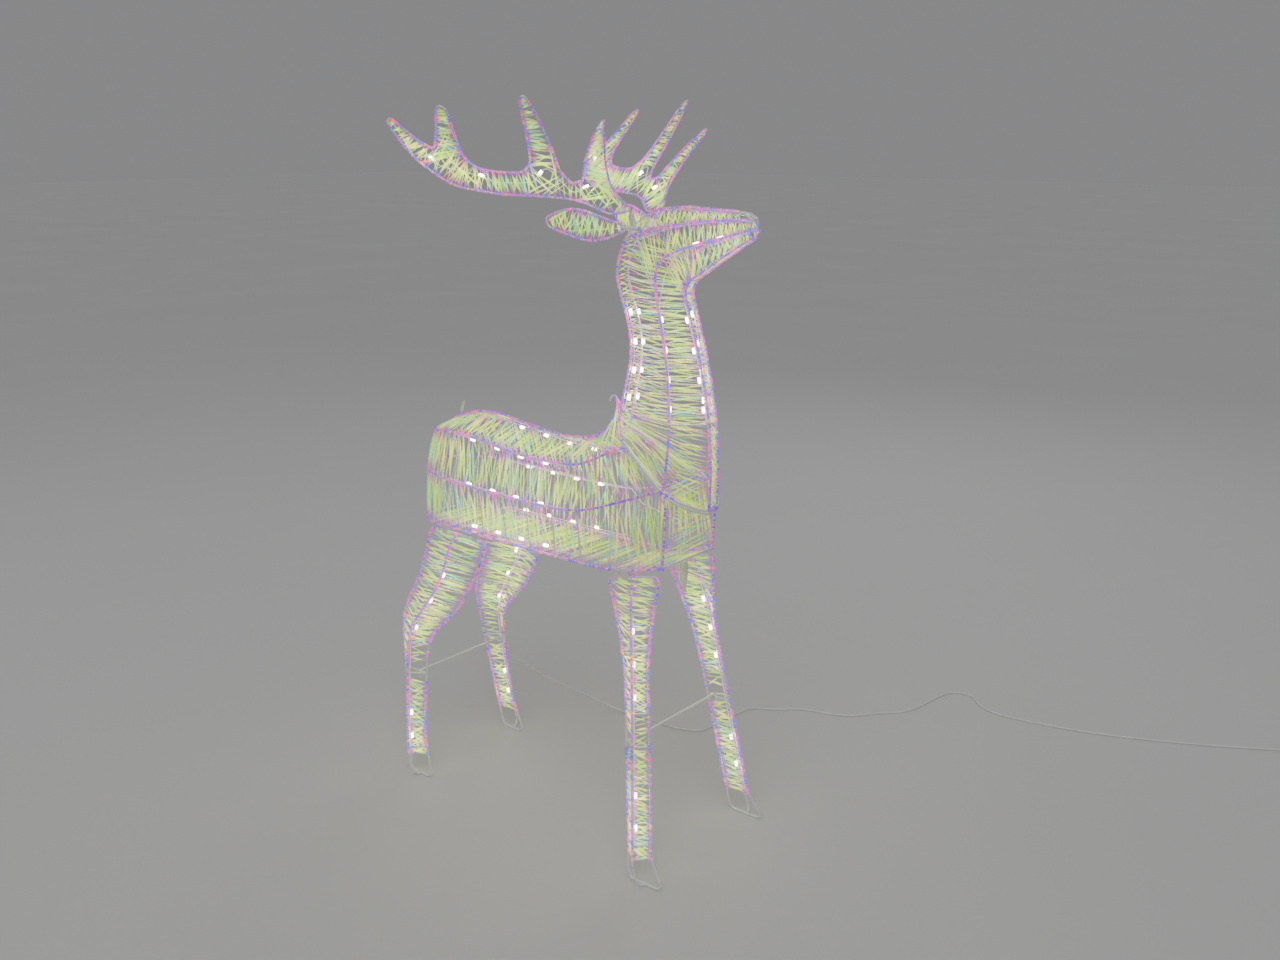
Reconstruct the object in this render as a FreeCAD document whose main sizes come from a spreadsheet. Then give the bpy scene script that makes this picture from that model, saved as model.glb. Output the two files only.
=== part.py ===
"""Light-up yard reindeer, in millimetres.

The figure faces +X, its left side is +Y, and it stands on the floor at Z = 0 with its feet
round the origin. Welded wire frames (torso, neck with head, four legs, two antlers and two
ears) carry wound film and strings of small lights, and two cross braces tie the legs.

Points are drawn on a figure of DRAWN sizes. spot() stretches them to the sheet's sizes.
"""
import FreeCAD, Part
import math
import os
import Sketcher
from FreeCAD import Placement, Rotation, Vector

DRAWN_LENGTH = 600.0
DRAWN_WIDTH = 176.0
DRAWN_BELLY = 500.0
DRAWN_UPPER = 750.0
DRAWN_MIDDLE = 10.3

SIZES = {
    "body_length": 600.0,      # rump to chest
    "body_width": 176.0,       # across the middle rails
    "belly_height": 500.0,     # floor to the lower rails
    "upper_height": 750.0,     # lower rails to the highest tine
    "rail_wire": 4.0,          # long wires of every frame
    "rib_wire": 3.0,           # rings welded inside the rails
    "antler_wire": 3.0,
    "ear_wire": 3.0,
    "brace_wire": 4.0,
    "weld_bite": 0.1,          # how far a rib sinks into a rail at its weld
    "butt_gap": 0.2,           # between the two ends of a bent ring
    "film_thick": 0.6,
    "film_gap": 0.6,           # film to the rail beside it
    "string_wire": 1.6,
    "string_gap": 0.2,
    "bulb_width": 5.0,
    "bulb_length": 10.0,
    "clip_length": 12.0,
    "clip_width": 9.0,
    "clip_bore_gap": 0.1,
    "clip_slot_gap": 0.7,
    "leg_drop": 10.0,          # torso lower rail to the leg's top bar
    "seat_drop": 5.0,          # neck ring to the torso ring that it rests on
    "hook_drop": 12.0,         # length of a brace's bent end
    "rest_gap": 0.3,           # a loose wire and what it rests on
    "prong_wire": 4.0,
    "prong_depth": 16.0,
    "prong_gap": 0.1,
    "antler_socket_width": 10.0,
    "antler_socket_length": 26.0,
    "ear_socket_width": 8.0,
    "ear_socket_length": 18.0,
    "peg_width": 6.0,
    "peg_bore": 3.6,
    "peg_length": 24.0,
    "connector_width": 14.0,
    "connector_neck": 9.0,
    "connector_length": 40.0,
    "cord_width": 4.0,
    "coil_middle": 48.0,       # across the middle of the coil's turns
    "coil_thick": 18.0,        # across its turns
    "coil_height": 18.0,
    "adapter_length": 70.0,
    "adapter_width": 44.0,
    "adapter_height": 30.0,
    "adapter_corner": 5.0,
    "relief_length": 20.0,
    "relief_width": 9.0,
    "pin_width": 4.0,
    "pin_length": 18.0,
    "pin_spacing": 19.0,
    "sleeve_width": 6.4,
    "sleeve_length": 10.0,
}

doc = FreeCAD.newDocument("yard_reindeer")
sheet = doc.addObject("Spreadsheet::Sheet", "sizes")
for row, (name, value) in enumerate(SIZES.items(), start=1):
    sheet.set(f"A{row}", name)
    sheet.set(f"B{row}", str(value))
    sheet.setAlias(f"B{row}", name)
doc.recompute()


def mm(name):
    """A size from the sheet."""
    return float(sheet.get(name))


LENGTH_RATIO = mm("body_length") / DRAWN_LENGTH
WIDTH_RATIO = mm("body_width") / DRAWN_WIDTH
RIGHT = -1
LEFT = 1
SIDES = {"right": RIGHT, "left": LEFT}
RAIL = mm("rail_wire") / 2
RIB = mm("rib_wire") / 2
STRING = mm("string_wire") / 2
UP = Vector(0, 0, 1)
PARTS = []


def spot(x, y, z):
    """A drawn point, stretched to the sheet's overall sizes."""
    if z <= DRAWN_BELLY:
        height = z * mm("belly_height") / DRAWN_BELLY
    else:
        height = mm("belly_height") + (z - DRAWN_BELLY) * mm("upper_height") / DRAWN_UPPER
    return Vector((x - DRAWN_MIDDLE) * LENGTH_RATIO, y * WIDTH_RATIO, height)


def station(x):
    """Where a drawn station along the figure lies on the X axis."""
    return (x - DRAWN_MIDDLE) * LENGTH_RATIO


def unit(vector):
    """The vector at length 1."""
    return Vector(vector).normalize()


def mirrored(point):
    """The same point on the other side of the figure."""
    return Vector(point.x, -point.y, point.z)


def keep(feature):
    """Marks a document object as a sub-part to write out."""
    PARTS.append(feature)
    return feature


def group(label, solids):
    """One sub-part made of separate solids."""
    feature = doc.addObject("Part::Feature", label)
    feature.Shape = Part.makeCompound(solids) if len(solids) > 1 else solids[0]
    feature.Label = label
    feature.Placement = Placement()
    return keep(feature)


# ---------------------------------------------------------------- bent wire

BEND_SHARE = 0.45


SHARP_TURN = math.radians(50)


def rounded_path(points, sharp=None, largest=None):
    """Straight runs joined by tangent arcs, each as large as its two runs allow.

    No arc is larger than largest, nor larger than sharp where it turns far.
    """
    edges = []
    start = points[0]
    for before, corner, after in zip(points, points[1:], points[2:]):
        back = unit(before - corner)
        ahead = unit(after - corner)
        half = back.getAngle(ahead) / 2
        if math.pi / 2 - half < 1e-3:
            continue
        reach = BEND_SHARE * min((before - corner).Length, (after - corner).Length)
        if sharp and math.pi - 2 * half > SHARP_TURN:
            reach = min(reach, sharp / math.tan(half))
        if largest:
            reach = min(reach, largest / math.tan(half))
        inward = unit(back + ahead)
        middle = corner + inward * (reach / math.cos(half) - reach * math.tan(half))
        first = corner + back * reach
        last = corner + ahead * reach
        edges.append(Part.LineSegment(start, first).toShape())
        edges.append(Part.Arc(first, middle, last).toShape())
        start = last
    edges.append(Part.LineSegment(start, points[-1]).toShape())
    return Part.Wire(edges)


class BentWire:
    """A wire bent along a route of points."""

    def __init__(self, points, sharp=None, largest=None):
        self.points = points
        self.path = rounded_path(points, sharp, largest)
        self.samples = self.path.discretize(Number=241)

    def solid(self, width):
        """The wire as a round bar."""
        direction = self.points[1] - self.points[0]
        section = Part.Wire(Part.makeCircle(width / 2, self.points[0], direction))
        return self.path.makePipeShell([section], True, False)

    def nearest(self, point):
        """The number of the sample nearest to a point."""
        return min(range(len(self.samples)), key=lambda n: (self.samples[n] - point).Length)

    def stretch(self, start, end, count):
        """Evenly spaced points of the wire's middle line between two places on it."""
        first, last = self.nearest(start), self.nearest(end)
        step = (last - first) / (count - 1)
        return [self.samples[round(first + n * step)] for n in range(count)]

    def crossing(self, axis, value, side=0):
        """Where the wire first crosses a plane across an axis, on one side of the figure."""
        for one, other in zip(self.samples, self.samples[1:]):
            low, high = one[axis], other[axis]
            if side * (one.y + other.y) < 0 or (low - value) * (high - value) > 0 or low == high:
                continue
            return one + (other - one) * ((value - low) / (high - low))
        raise ValueError(f"no crossing of {value}")


def ring_points(corners, depth, bend):
    """The route of a flat ring lying inside its corners, with its ends at the last run's middle."""
    count = len(corners)
    inside = []
    for n, corner in enumerate(corners):
        back = unit(corners[n - 1] - corner)
        ahead = unit(corners[(n + 1) % count] - corner)
        half = back.getAngle(ahead) / 2
        inward = unit(back + ahead)
        inside.append(corner + inward * (depth - bend * (1 / math.sin(half) - 1)))
    middle = (inside[-1] + inside[0]) * 0.5
    gap = unit(inside[0] - inside[-1]) * (mm("butt_gap") / 2)
    return [middle + gap] + inside + [middle - gap]


RIB_BEND = 3.0
RIB_DEPTH = RAIL + RIB - mm("weld_bite")


def rib(corners):
    """A ring welded inside the rails at its corners."""
    return BentWire(ring_points(corners, RIB_DEPTH, RIB_BEND), largest=RIB_BEND)


# ---------------------------------------------------------------- film

FILM_EDGE = RAIL + mm("film_gap")
CLIP_EDGE = mm("clip_width") / 2 + mm("film_gap")
BAND_GAP = RIB + mm("film_gap")


def quad_faces(a, b, c, d):
    """Two flat triangles that fill a four-cornered patch."""
    return [
        Part.Face(Part.makePolygon([a, b, c, a])),
        Part.Face(Part.makePolygon([a, c, d, a])),
    ]


def edge_point(rail, n, across, edge):
    """The film's edge beside a rail: a clear distance from it, measured square to the rail."""
    along = unit(rail[min(n + 1, len(rail) - 1)] - rail[max(n - 1, 0)])
    slant = math.sqrt(1 - along.dot(across) ** 2)
    return rail[n] + across * (edge / slant)


def film_panel(one, other, one_edge=FILM_EDGE, other_edge=FILM_EDGE):
    """A thin strip of film between two rails, given as lists of points along their middles."""
    half = mm("film_thick") / 2
    rows = []
    for n, (a, b) in enumerate(zip(one, other)):
        across = unit(b - a)
        low, high = max(n - 1, 0), min(n + 1, len(one) - 1)
        along = (one[high] + other[high]) - (one[low] + other[low])
        normal = unit(across.cross(along)) * half
        near = edge_point(one, n, across, one_edge)
        far = edge_point(other, n, across * -1, other_edge)
        rows.append((near + normal, far + normal, far - normal, near - normal))
    faces = quad_faces(*rows[0]) + quad_faces(*rows[-1][::-1])
    for before, after in zip(rows, rows[1:]):
        faces += quad_faces(before[0], before[1], after[1], after[0])
        faces += quad_faces(before[1], before[2], after[2], after[1])
        faces += quad_faces(before[3], after[3], after[2], before[2])
        faces += quad_faces(before[3], before[0], after[0], after[3])
    return Part.Solid(Part.Shell(faces))


def bands(stops, longest=12.0):
    """The stations of each stretch of film between one rib and the next."""
    found = []
    for low, high in zip(stops, stops[1:]):
        start, end = sorted((low, high))
        start, end = start + BAND_GAP, end - BAND_GAP
        steps = max(1, math.ceil((end - start) / longest))
        found.append([start + (end - start) * n / steps for n in range(steps + 1)])
    return found


def film_round(section, stops, edges=None, skip=()):
    """Film on every side of a ribbed frame, in stretches between its ribs.

    section gives the rails' centres at a station; edges gives the two edges of a side's panel.
    """
    panels = []
    for number, stations in enumerate(bands(stops)):
        corners = list(zip(*[section(station) for station in stations]))
        for n, one in enumerate(corners):
            if (number, n) in skip:
                continue
            near, far = edges(number, n) if edges else (FILM_EDGE, FILM_EDGE)
            panels.append(film_panel(one, corners[(n + 1) % len(corners)], near, far))
    return panels


# ---------------------------------------------------------------- lights

BULB = mm("bulb_width") / 2
STRING_DEPTH = RAIL + 2 * RIB + STRING + mm("string_gap")
BULB_STEP = STRING + BULB + mm("string_gap")
STRING_BEND = 9.0


def bulb(centre, direction):
    """A small light: a round body with a domed end."""
    along = unit(direction)
    length = mm("bulb_length") - BULB
    start = centre - along * (length / 2)
    body = Part.makeCylinder(BULB, length, start, along)
    dome = Part.makeSphere(BULB, start + along * length, along, 0, 90, 360)
    return body.fuse(dome).removeSplitter().Solids[0]


def bulbs_along(points, middle):
    """A light beside the middle of each run of a string, on the side towards a frame's middle."""
    found = []
    for one, other in zip(points, points[1:]):
        along = unit(other - one)
        halfway = (one + other) * 0.5
        inward = middle(halfway) - halfway
        inward = unit(inward - along * inward.dot(along))
        found.append(bulb(halfway + inward * BULB_STEP, along))
    return found


def inside_corner(corners, number, deeper=0.0):
    """A place for the string inside one rail of a section, clear of the rib that passes there."""
    corner = corners[number]
    back = unit(corners[number - 1] - corner)
    ahead = unit(corners[(number + 1) % len(corners)] - corner)
    return corner + unit(back + ahead) * (STRING_DEPTH + deeper)


def light_string(label, route):
    """A thin insulated wire along a route."""
    group(label, [BentWire(route, largest=STRING_BEND).solid(mm("string_wire"))])


# ---------------------------------------------------------------- neck ring

RING_BACK = 120.0
RING_BACK_HEIGHT = 724.0
RING_SLOPE = -0.575


def ring_spot(x, y):
    """A drawn point in the sloping plane of the neck's bottom ring."""
    return spot(x, y, RING_BACK_HEIGHT + RING_SLOPE * (x - RING_BACK))


NECK_RING_HALF = [(120, 20), (185, 45), (247, 61), (284, 46), (306, 14)]


def neck_ring(drop=0.0):
    """The D-shaped ring under the neck, or its copy on the torso, drop lower."""
    right = [ring_spot(x, -y) for x, y in NECK_RING_HALF]
    left = [ring_spot(x, y) for x, y in reversed(NECK_RING_HALF)]
    down = Vector(0, 0, -drop)
    gap = Vector(0, mm("butt_gap") / 2, 0)
    middle = ring_spot(RING_BACK, 0)
    route = [middle - gap] + right + left + [middle + gap]
    return BentWire([point + down for point in route], 12.0)


# ---------------------------------------------------------------- torso

UPPER_HALF = [
    (149, 34, 702), (130, 50, 694), (108, 62, 681), (75, 69, 667), (15, 70, 663), (-45, 70, 663),
    (-100, 70, 668), (-155, 70, 677), (-205, 70, 681), (-262, 66, 676), (-303, 44, 669), (-322, 16, 666),
]
MIDDLE_HALF = [
    (240, 62, 649), (208, 76, 636), (160, 85, 618), (112, 88, 600), (60, 88, 591), (-20, 88, 589),
    (-100, 88, 591), (-180, 88, 593), (-262, 82, 596), (-318, 54, 598), (-342, 18, 598),
]
LOWER_HALF = [
    (257, 68, 526), (216, 76, 514), (160, 76, 503), (110, 76, 500), (40, 76, 500), (-40, 76, 500),
    (-120, 76, 500), (-200, 76, 500), (-280, 76, 498), (-332, 48, 496), (-350, 16, 495),
]
SPINE = [
    (107, 754), (96, 732), (76, 711), (45, 698), (0, 692), (-50, 693), (-105, 700), (-160, 709),
    (-210, 710), (-258, 700), (-298, 684), (-322, 645), (-332, 590), (-337, 535), (-346, 497),
]
FRONT_POST = [(257, 68, 527), (262, 67, 590), (258, 63, 630), (249, 60, 643)]


def hoop(half):
    """A wire that runs back along the right side, round the rump and forward on the left."""
    right = [spot(x, -y, z) for x, y, z in half]
    left = [spot(x, y, z) for x, y, z in reversed(half)]
    return BentWire(right + left)


upper_rail = hoop(UPPER_HALF)
middle_rail = hoop(MIDDLE_HALF)
lower_rail = hoop(LOWER_HALF)
spine_rail = BentWire([spot(x, 0, z) for x, z in SPINE])
front_posts = {side: BentWire([spot(x, side * y, z) for x, y, z in FRONT_POST]) for side in (RIGHT, LEFT)}
chest_bar = BentWire([spot(257, -66, 526), spot(259, 0, 526), spot(257, 66, 526)])
spine_hook = BentWire([
    spot(107, 0, 754), spot(109, 0, 768), spot(104, 0, 778), spot(95, 0, 777), spot(90, 0, 768),
], 6.0)
torso_ring = neck_ring(mm("seat_drop"))

TORSO_RIBS = [-285, -210, -145, -88, -30, 30, 88]


def torso_section(x):
    """The rails' centres at a drawn station along the torso, round from the right lower rail."""
    place = station(x)
    right = [rail.crossing(0, place, RIGHT) for rail in (lower_rail, middle_rail, upper_rail)]
    left = [rail.crossing(0, place, LEFT) for rail in (upper_rail, middle_rail, lower_rail)]
    return right + [spine_rail.crossing(0, place)] + left


def torso_frame():
    """The welded torso: seven rails, ribs, chest posts and the ring that the neck rests on."""
    wires = [upper_rail, middle_rail, lower_rail, spine_rail, torso_ring, chest_bar]
    wires += front_posts.values()
    solids = [wire.solid(mm("rail_wire")) for wire in wires]
    solids.append(spine_hook.solid(mm("rib_wire")))
    solids += [rib(torso_section(x)).solid(mm("rib_wire")) for x in TORSO_RIBS]
    group("torso_frame", solids)


FRONT_RIB = max(TORSO_RIBS)
REAR_RIB = min(TORSO_RIBS)
CLIPPED_BANDS = (0, 1)
RUMP_ROWS = 25


def torso_edges(band, side):
    """The film's distance from the two rails of a side: wider where clips sit on the lower rail."""
    near = CLIP_EDGE if band in CLIPPED_BANDS and side in (0, 6) else FILM_EDGE
    far = CLIP_EDGE if band in CLIPPED_BANDS and side in (5, 6) else FILM_EDGE
    return near, far


def rump_points(rail):
    """Evenly spaced points along a hoop, from the last rib on the right round to the left."""
    right, left = (rail.crossing(0, station(REAR_RIB - BAND_GAP), side) for side in (RIGHT, LEFT))
    start, end = rail.nearest(right), rail.nearest(left)
    count = RUMP_ROWS - 1
    between = [rail.samples[round(start + (end - start) * n / count)] for n in range(1, count)]
    return [right] + between + [left]


def front_points(rail, side, last):
    """Points along a rail in front of the front rib, up to a drawn station."""
    first = FRONT_RIB + BAND_GAP
    count = 8
    return [rail.crossing(0, station(first + (last - first) * n / (count - 1)), side)
            for n in range(count)]


def torso_film():
    """Film between neighbouring rails of the torso, round the rump and over the chest."""
    panels = film_round(torso_section, TORSO_RIBS, torso_edges)
    panels.append(film_panel(rump_points(upper_rail), rump_points(middle_rail)))
    panels.append(film_panel(rump_points(middle_rail), rump_points(lower_rail)))
    for side in (RIGHT, LEFT):
        panels.append(film_panel(front_points(spine_rail, 0, 102), front_points(upper_rail, side, 118)))
        panels.append(film_panel(front_points(upper_rail, side, 132), front_points(middle_rail, side, 190)))
        panels.append(film_panel(front_points(middle_rail, side, 212), front_points(lower_rail, side, 236),
                                 other_edge=CLIP_EDGE))
    panels.append(film_panel(front_points(lower_rail, RIGHT, 196), front_points(lower_rail, LEFT, 196),
                             CLIP_EDGE, CLIP_EDGE))
    low, high = spot(0, 0, 536).z, spot(0, 0, 624).z
    posts = [[front_posts[side].crossing(2, low + (high - low) * n / 4) for n in range(5)]
             for side in (RIGHT, LEFT)]
    panels.append(film_panel(*posts))
    group("torso_film", panels)


STRING_STATIONS = [70, 30, -30, -88, -145, -210, -228]
STRING_ORDER = [2, 1, 0, 6, 4, 5]
LOW_CORNERS = (0, 6)
LOW_DEPTH = 5.0
CONNECTOR_TOP = spot(222, 36, 532)


def torso_middle(point):
    """A point on the torso's middle line level with a given one."""
    return Vector(point.x, 0, spot(0, 0, 592).z)


def torso_lights():
    """The light string inside the torso, back and forth along its rails, and its lights."""
    route = []
    lamps = []
    sections = [torso_section(x) for x in STRING_STATIONS]
    for turn, corner in enumerate(STRING_ORDER):
        deeper = LOW_DEPTH if corner in LOW_CORNERS else 0.0
        along = [inside_corner(section, corner, deeper) for section in sections]
        if turn % 2:
            along.reverse()
        lamps += bulbs_along([point for point in along if point is not along[0]][:-1], torso_middle)
        route += along
    end = CONNECTOR_TOP + UP * mm("string_gap")
    route += [spot(110, 62, 578), spot(165, 52, 572), spot(208, 40, 572)]
    route += [Vector(end.x, end.y, end.z + 18), end]
    light_string("torso_light_string", route)
    group("torso_lights", lamps)


# ---------------------------------------------------------------- neck and head

NECK_BACK = [
    (121, 17, 725), (130, 16, 765), (137, 15, 800), (147, 14, 838), (149, 14, 872), (142, 14, 910),
    (128, 14, 946), (118, 14, 978), (122, 14, 1006), (136, 14, 1036), (162, 14, 1066), (198, 14, 1084),
    (238, 13, 1091), (282, 12, 1088), (330, 10, 1087), (362, 8, 1084), (374, 7, 1077),
]
NECK_SIDE = [
    (250, 60, 650), (256, 58, 692), (258, 55, 735), (257, 53, 780), (253, 51, 825), (246, 49, 870),
    (236, 48, 915), (225, 46, 957), (220, 43, 990), (229, 39, 1013), (256, 33, 1028), (298, 26, 1040),
    (340, 17, 1052), (370, 10, 1062),
]
NECK_FRONT = [
    (306, 10, 618), (308, 10, 665), (307, 10, 712), (303, 10, 760), (296, 10, 805), (286, 10, 848),
    (275, 10, 890), (262, 10, 930), (253, 10, 962), (262, 10, 980), (286, 10, 995), (318, 9, 1016),
    (348, 8, 1035), (371, 7, 1048),
]
CHEEK = [(137, 16, 1036), (150, 25, 1040), (174, 31, 1049), (205, 32, 1058), (250, 29, 1065), (300, 22, 1072),
         (345, 14, 1075), (371, 9, 1072)]


def pair(half):
    """The right and left copies of a wire drawn on one side."""
    return {side: BentWire([spot(x, side * y, z) for x, y, z in half]) for side in (RIGHT, LEFT)}


back_rails = pair(NECK_BACK)
side_rails = pair(NECK_SIDE)
front_rails = pair(NECK_FRONT)
cheek_rails = pair(CHEEK)
neck_bottom = neck_ring()

NECK_RIBS = [758, 805, 850, 897, 943]
HEAD_RIBS = [262, 302, 340]
BROW = 234
THROAT = 972
NECK_STRING_ORDER = [2, 3, 4, 0, 1]
NOSE_HALF = [(371, 7, 1049), (373, 10, 1062), (375, 7, 1077)]


def neck_section(z):
    """The rails' centres at a drawn height of the neck."""
    height = spot(0, 0, z).z
    right = [rails[RIGHT].crossing(2, height) for rails in (front_rails, side_rails, back_rails)]
    return right + [mirrored(point) for point in reversed(right)]


def level_with(rail, place, lowest):
    """The point of a face wire at a station of the head, above a given height."""
    high = [point for point in rail.samples if point.z > lowest]
    nearest = min(high, key=lambda point: abs(point.x - place))
    return Vector(place, nearest.y, nearest.z)


def head_section(x, jaw=True):
    """The rails' centres at a drawn station of the head, with or without the jaw's."""
    place = station(x)
    lowest = spot(0, 0, 1008).z
    flat = [level_with(rail, place, lowest) for rail in (side_rails[RIGHT], cheek_rails[RIGHT],
                                                         back_rails[RIGHT])]
    if jaw:
        flat.insert(0, level_with(front_rails[RIGHT], place, spot(0, 0, THROAT).z))
    return flat + [mirrored(point) for point in reversed(flat)]


def neck_middle(point):
    """A point on the middle line of the neck or the head, level with a given one."""
    if point.z < spot(0, 0, 985).z:
        return Vector(spot(205, 0, 0).x, 0, point.z)
    return Vector(point.x, 0, spot(0, 0, 1052).z)


def neck_frame():
    """The welded neck and head: eight rails, ribs, the D-shaped bottom ring and the nose ring."""
    wires = [neck_bottom]
    for rails in (back_rails, side_rails, front_rails, cheek_rails):
        wires += rails.values()
    solids = [wire.solid(mm("rail_wire")) for wire in wires]
    nose = [spot(x, -y, z) for x, y, z in NOSE_HALF] + [spot(x, y, z) for x, y, z in reversed(NOSE_HALF)]
    rings = [rib(neck_section(z)) for z in NECK_RIBS]
    rings.append(rib(head_section(BROW, jaw=False)))
    rings += [rib(head_section(x)) for x in HEAD_RIBS]
    rings.append(BentWire(ring_points(nose, 0.0, RIB_BEND), largest=RIB_BEND))
    rings += brackets
    solids += [ring.solid(mm("rib_wire")) for ring in rings]
    group("neck_frame", solids)


def neck_film():
    """Film between neighbouring rails of the neck and the head, in stretches between ribs."""
    panels = film_round(neck_section, NECK_RIBS)
    for side in (RIGHT, LEFT):
        back, flank = back_rails[side], side_rails[side]
        front, cheek = front_rails[side], cheek_rails[side]
        panels.append(film_panel(
            back.stretch(spot(122, side * 16, 732), spot(128, side * 16, 754), 4),
            flank.stretch(spot(251, side * 58, 662), spot(257, side * 54, 754), 4)))
        panels.append(film_panel(
            flank.stretch(spot(252, side * 58, 662), spot(257, side * 54, 754), 5),
            front.stretch(spot(307, side * 10, 628), spot(303, side * 10, 754), 5)))
        panels.append(film_panel(
            back.stretch(spot(128, side * 14, 948), spot(122, side * 14, 1008), 6),
            flank.stretch(spot(228, side * 46, 948), spot(220, side * 43, 990), 6)))
        panels.append(film_panel(
            back.stretch(spot(200, side * 14, 1084), spot(231, side * 13, 1091), 3),
            cheek.stretch(spot(200, side * 32, 1057), spot(231, side * 31, 1062), 3)))
        panels.append(film_panel(
            cheek.stretch(spot(200, side * 32, 1057), spot(231, side * 31, 1062), 3),
            flank.stretch(spot(220, side * 43, 996), spot(230, side * 39, 1012), 3)))
    panels.append(film_panel(
        back_rails[RIGHT].stretch(spot(122, -17, 732), spot(128, -16, 754), 4),
        back_rails[LEFT].stretch(spot(122, 17, 732), spot(128, 16, 754), 4)))
    panels.append(film_panel(
        front_rails[RIGHT].stretch(spot(307, -10, 628), spot(303, -10, 754), 5),
        front_rails[LEFT].stretch(spot(307, 10, 628), spot(303, 10, 754), 5)))
    panels.append(film_panel(
        back_rails[RIGHT].stretch(spot(128, -14, 948), spot(136, -14, 1036), 8),
        back_rails[LEFT].stretch(spot(128, 14, 948), spot(136, 14, 1036), 8)))
    panels += film_round(head_section, HEAD_RIBS)
    for stations in bands([BROW, HEAD_RIBS[0]]):
        corners = list(zip(*[head_section(x, jaw=False) for x in stations]))
        panels += [film_panel(one, other) for one, other in zip(corners, corners[1:])]
    group("neck_film", panels)


def neck_lights():
    """The light string inside the neck and head, up one side, round and down the other."""
    sections = [neck_section(z) for z in NECK_RIBS]
    route = []
    lamps = []
    for turn, corner in enumerate(NECK_STRING_ORDER):
        along = [inside_corner(section, corner) for section in sections]
        if turn % 2:
            along.reverse()
        lamps += bulbs_along(along, neck_middle)
        route += along
    along = [inside_corner(head_section(x), 1) for x in HEAD_RIBS]
    lamps += bulbs_along(along, neck_middle)
    light_string("neck_light_string", route + [spot(227, -28, 985), spot(240, -18, 1018)] + along)
    group("neck_lights", lamps)


# ---------------------------------------------------------------- legs

FRONT_LOOP = [
    (150, 489), (172, 436), (188, 392), (202, 344), (212, 288), (219, 234), (228, 165), (240, 84),
    (249, 14), (256, 2), (312, 2), (320, 10), (304, 32), (291, 56), (285, 110), (277, 170), (268, 234),
    (258, 300), (251, 352), (248, 404), (251, 458), (258, 512),
]
FRONT_OUTER = [(206, 490), (212, 470), (224, 415), (233, 350), (241, 292), (247, 234), (256, 165),
               (264, 95), (272, 34), (281, 8), (288, 2)]
HIND_LOOP = [
    (-286, 490), (-296, 448), (-314, 392), (-340, 344), (-355, 306), (-352, 262), (-344, 207),
    (-336, 145), (-328, 85), (-318, 16), (-312, 2), (-268, 2), (-260, 10), (-270, 42), (-281, 78),
    (-284, 140), (-284, 207), (-283, 256), (-268, 288), (-238, 316), (-204, 350), (-176, 394),
    (-152, 446), (-140, 490),
]
HIND_OUTER = [(-214, 490), (-218, 470), (-226, 420), (-246, 382), (-276, 342), (-306, 300), (-316, 256),
              (-314, 207), (-311, 145), (-307, 85), (-300, 34), (-294, 8), (-290, 2)]


FILM_FOOT = 44


class Leg:
    """One leg: a flat wire loop on its inner side, an outer rail, ribs, film and lights."""

    def __init__(self, label, side, loop, outer, foot, ribs, brace_height, bulge):
        self.label = label
        self.side = side
        self.foot = foot
        self.ribs = ribs
        self.brace_height = brace_height
        front, back = self.place(*loop[-1]), self.place(*loop[0])
        gap = unit(back - front) * (mm("butt_gap") / 2)
        middle = (front + back) * 0.5
        route = [middle - gap] + [self.place(x, z) for x, z in loop] + [middle + gap]
        self.loop = BentWire(route, 10.0)
        stand = mm("rail_wire") - mm("weld_bite")
        depths = [stand, bulge * 0.7] + [bulge] * (len(outer) - 4) + [bulge * 0.8, stand]
        self.outer = BentWire([self.place(x, z, deep) for (x, z), deep in zip(outer, depths)])

    def place(self, x, z, deep=0.0):
        """A drawn point of the leg's side view, in its leaning plane or deep outside it."""
        level = spot(x, 0, z + RAIL - 2.0)
        top = 76.0 * WIDTH_RATIO
        lean = (self.foot - top) / spot(0, 0, 490).z
        return Vector(level.x, self.side * (self.foot - lean * level.z + deep), level.z)

    def section(self, z):
        """The rear, front and outer wires' centres at a drawn height."""
        height = spot(0, 0, z).z
        half = len(self.loop.samples) // 2
        rear = min(self.loop.samples[:half], key=lambda point: abs(point.z - height))
        front = min(self.loop.samples[half:], key=lambda point: abs(point.z - height))
        outer = min(self.outer.samples, key=lambda point: abs(point.z - height))
        return [Vector(point.x, point.y, height) for point in (rear, outer, front)]

    def middle(self, point):
        """The middle of the leg's section, level with a given point."""
        rear, outer, front = self.section(point.z * 490.0 / spot(0, 0, 490).z)
        return (rear + outer + front) * (1 / 3)

    def frame(self):
        """The welded leg frame."""
        solids = [wire.solid(mm("rail_wire")) for wire in (self.loop, self.outer)]
        solids += [rib(self.section(z)).solid(mm("rib_wire")) for z in self.ribs]
        group(f"{self.label}_frame", solids)

    def film(self):
        """Film on the leg's three sides; the inner side is open where the brace hooks in."""
        stops = [477] + self.ribs + [FILM_FOOT]
        panels = film_round(self.section, stops, skip=[(self.ribs.index(self.brace_height), 2)])
        group(f"{self.label}_film", panels)

    def lights(self):
        """The string down the inside of the outer rail, with its lights."""
        along = [inside_corner(self.section(z), 1) for z in self.ribs]
        light_string(f"{self.label}_light_string", along)
        hooked = self.ribs.index(self.brace_height)
        lamps = bulbs_along(along[:hooked], self.middle) + bulbs_along(along[hooked + 1:], self.middle)
        group(f"{self.label}_lights", lamps)


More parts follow.
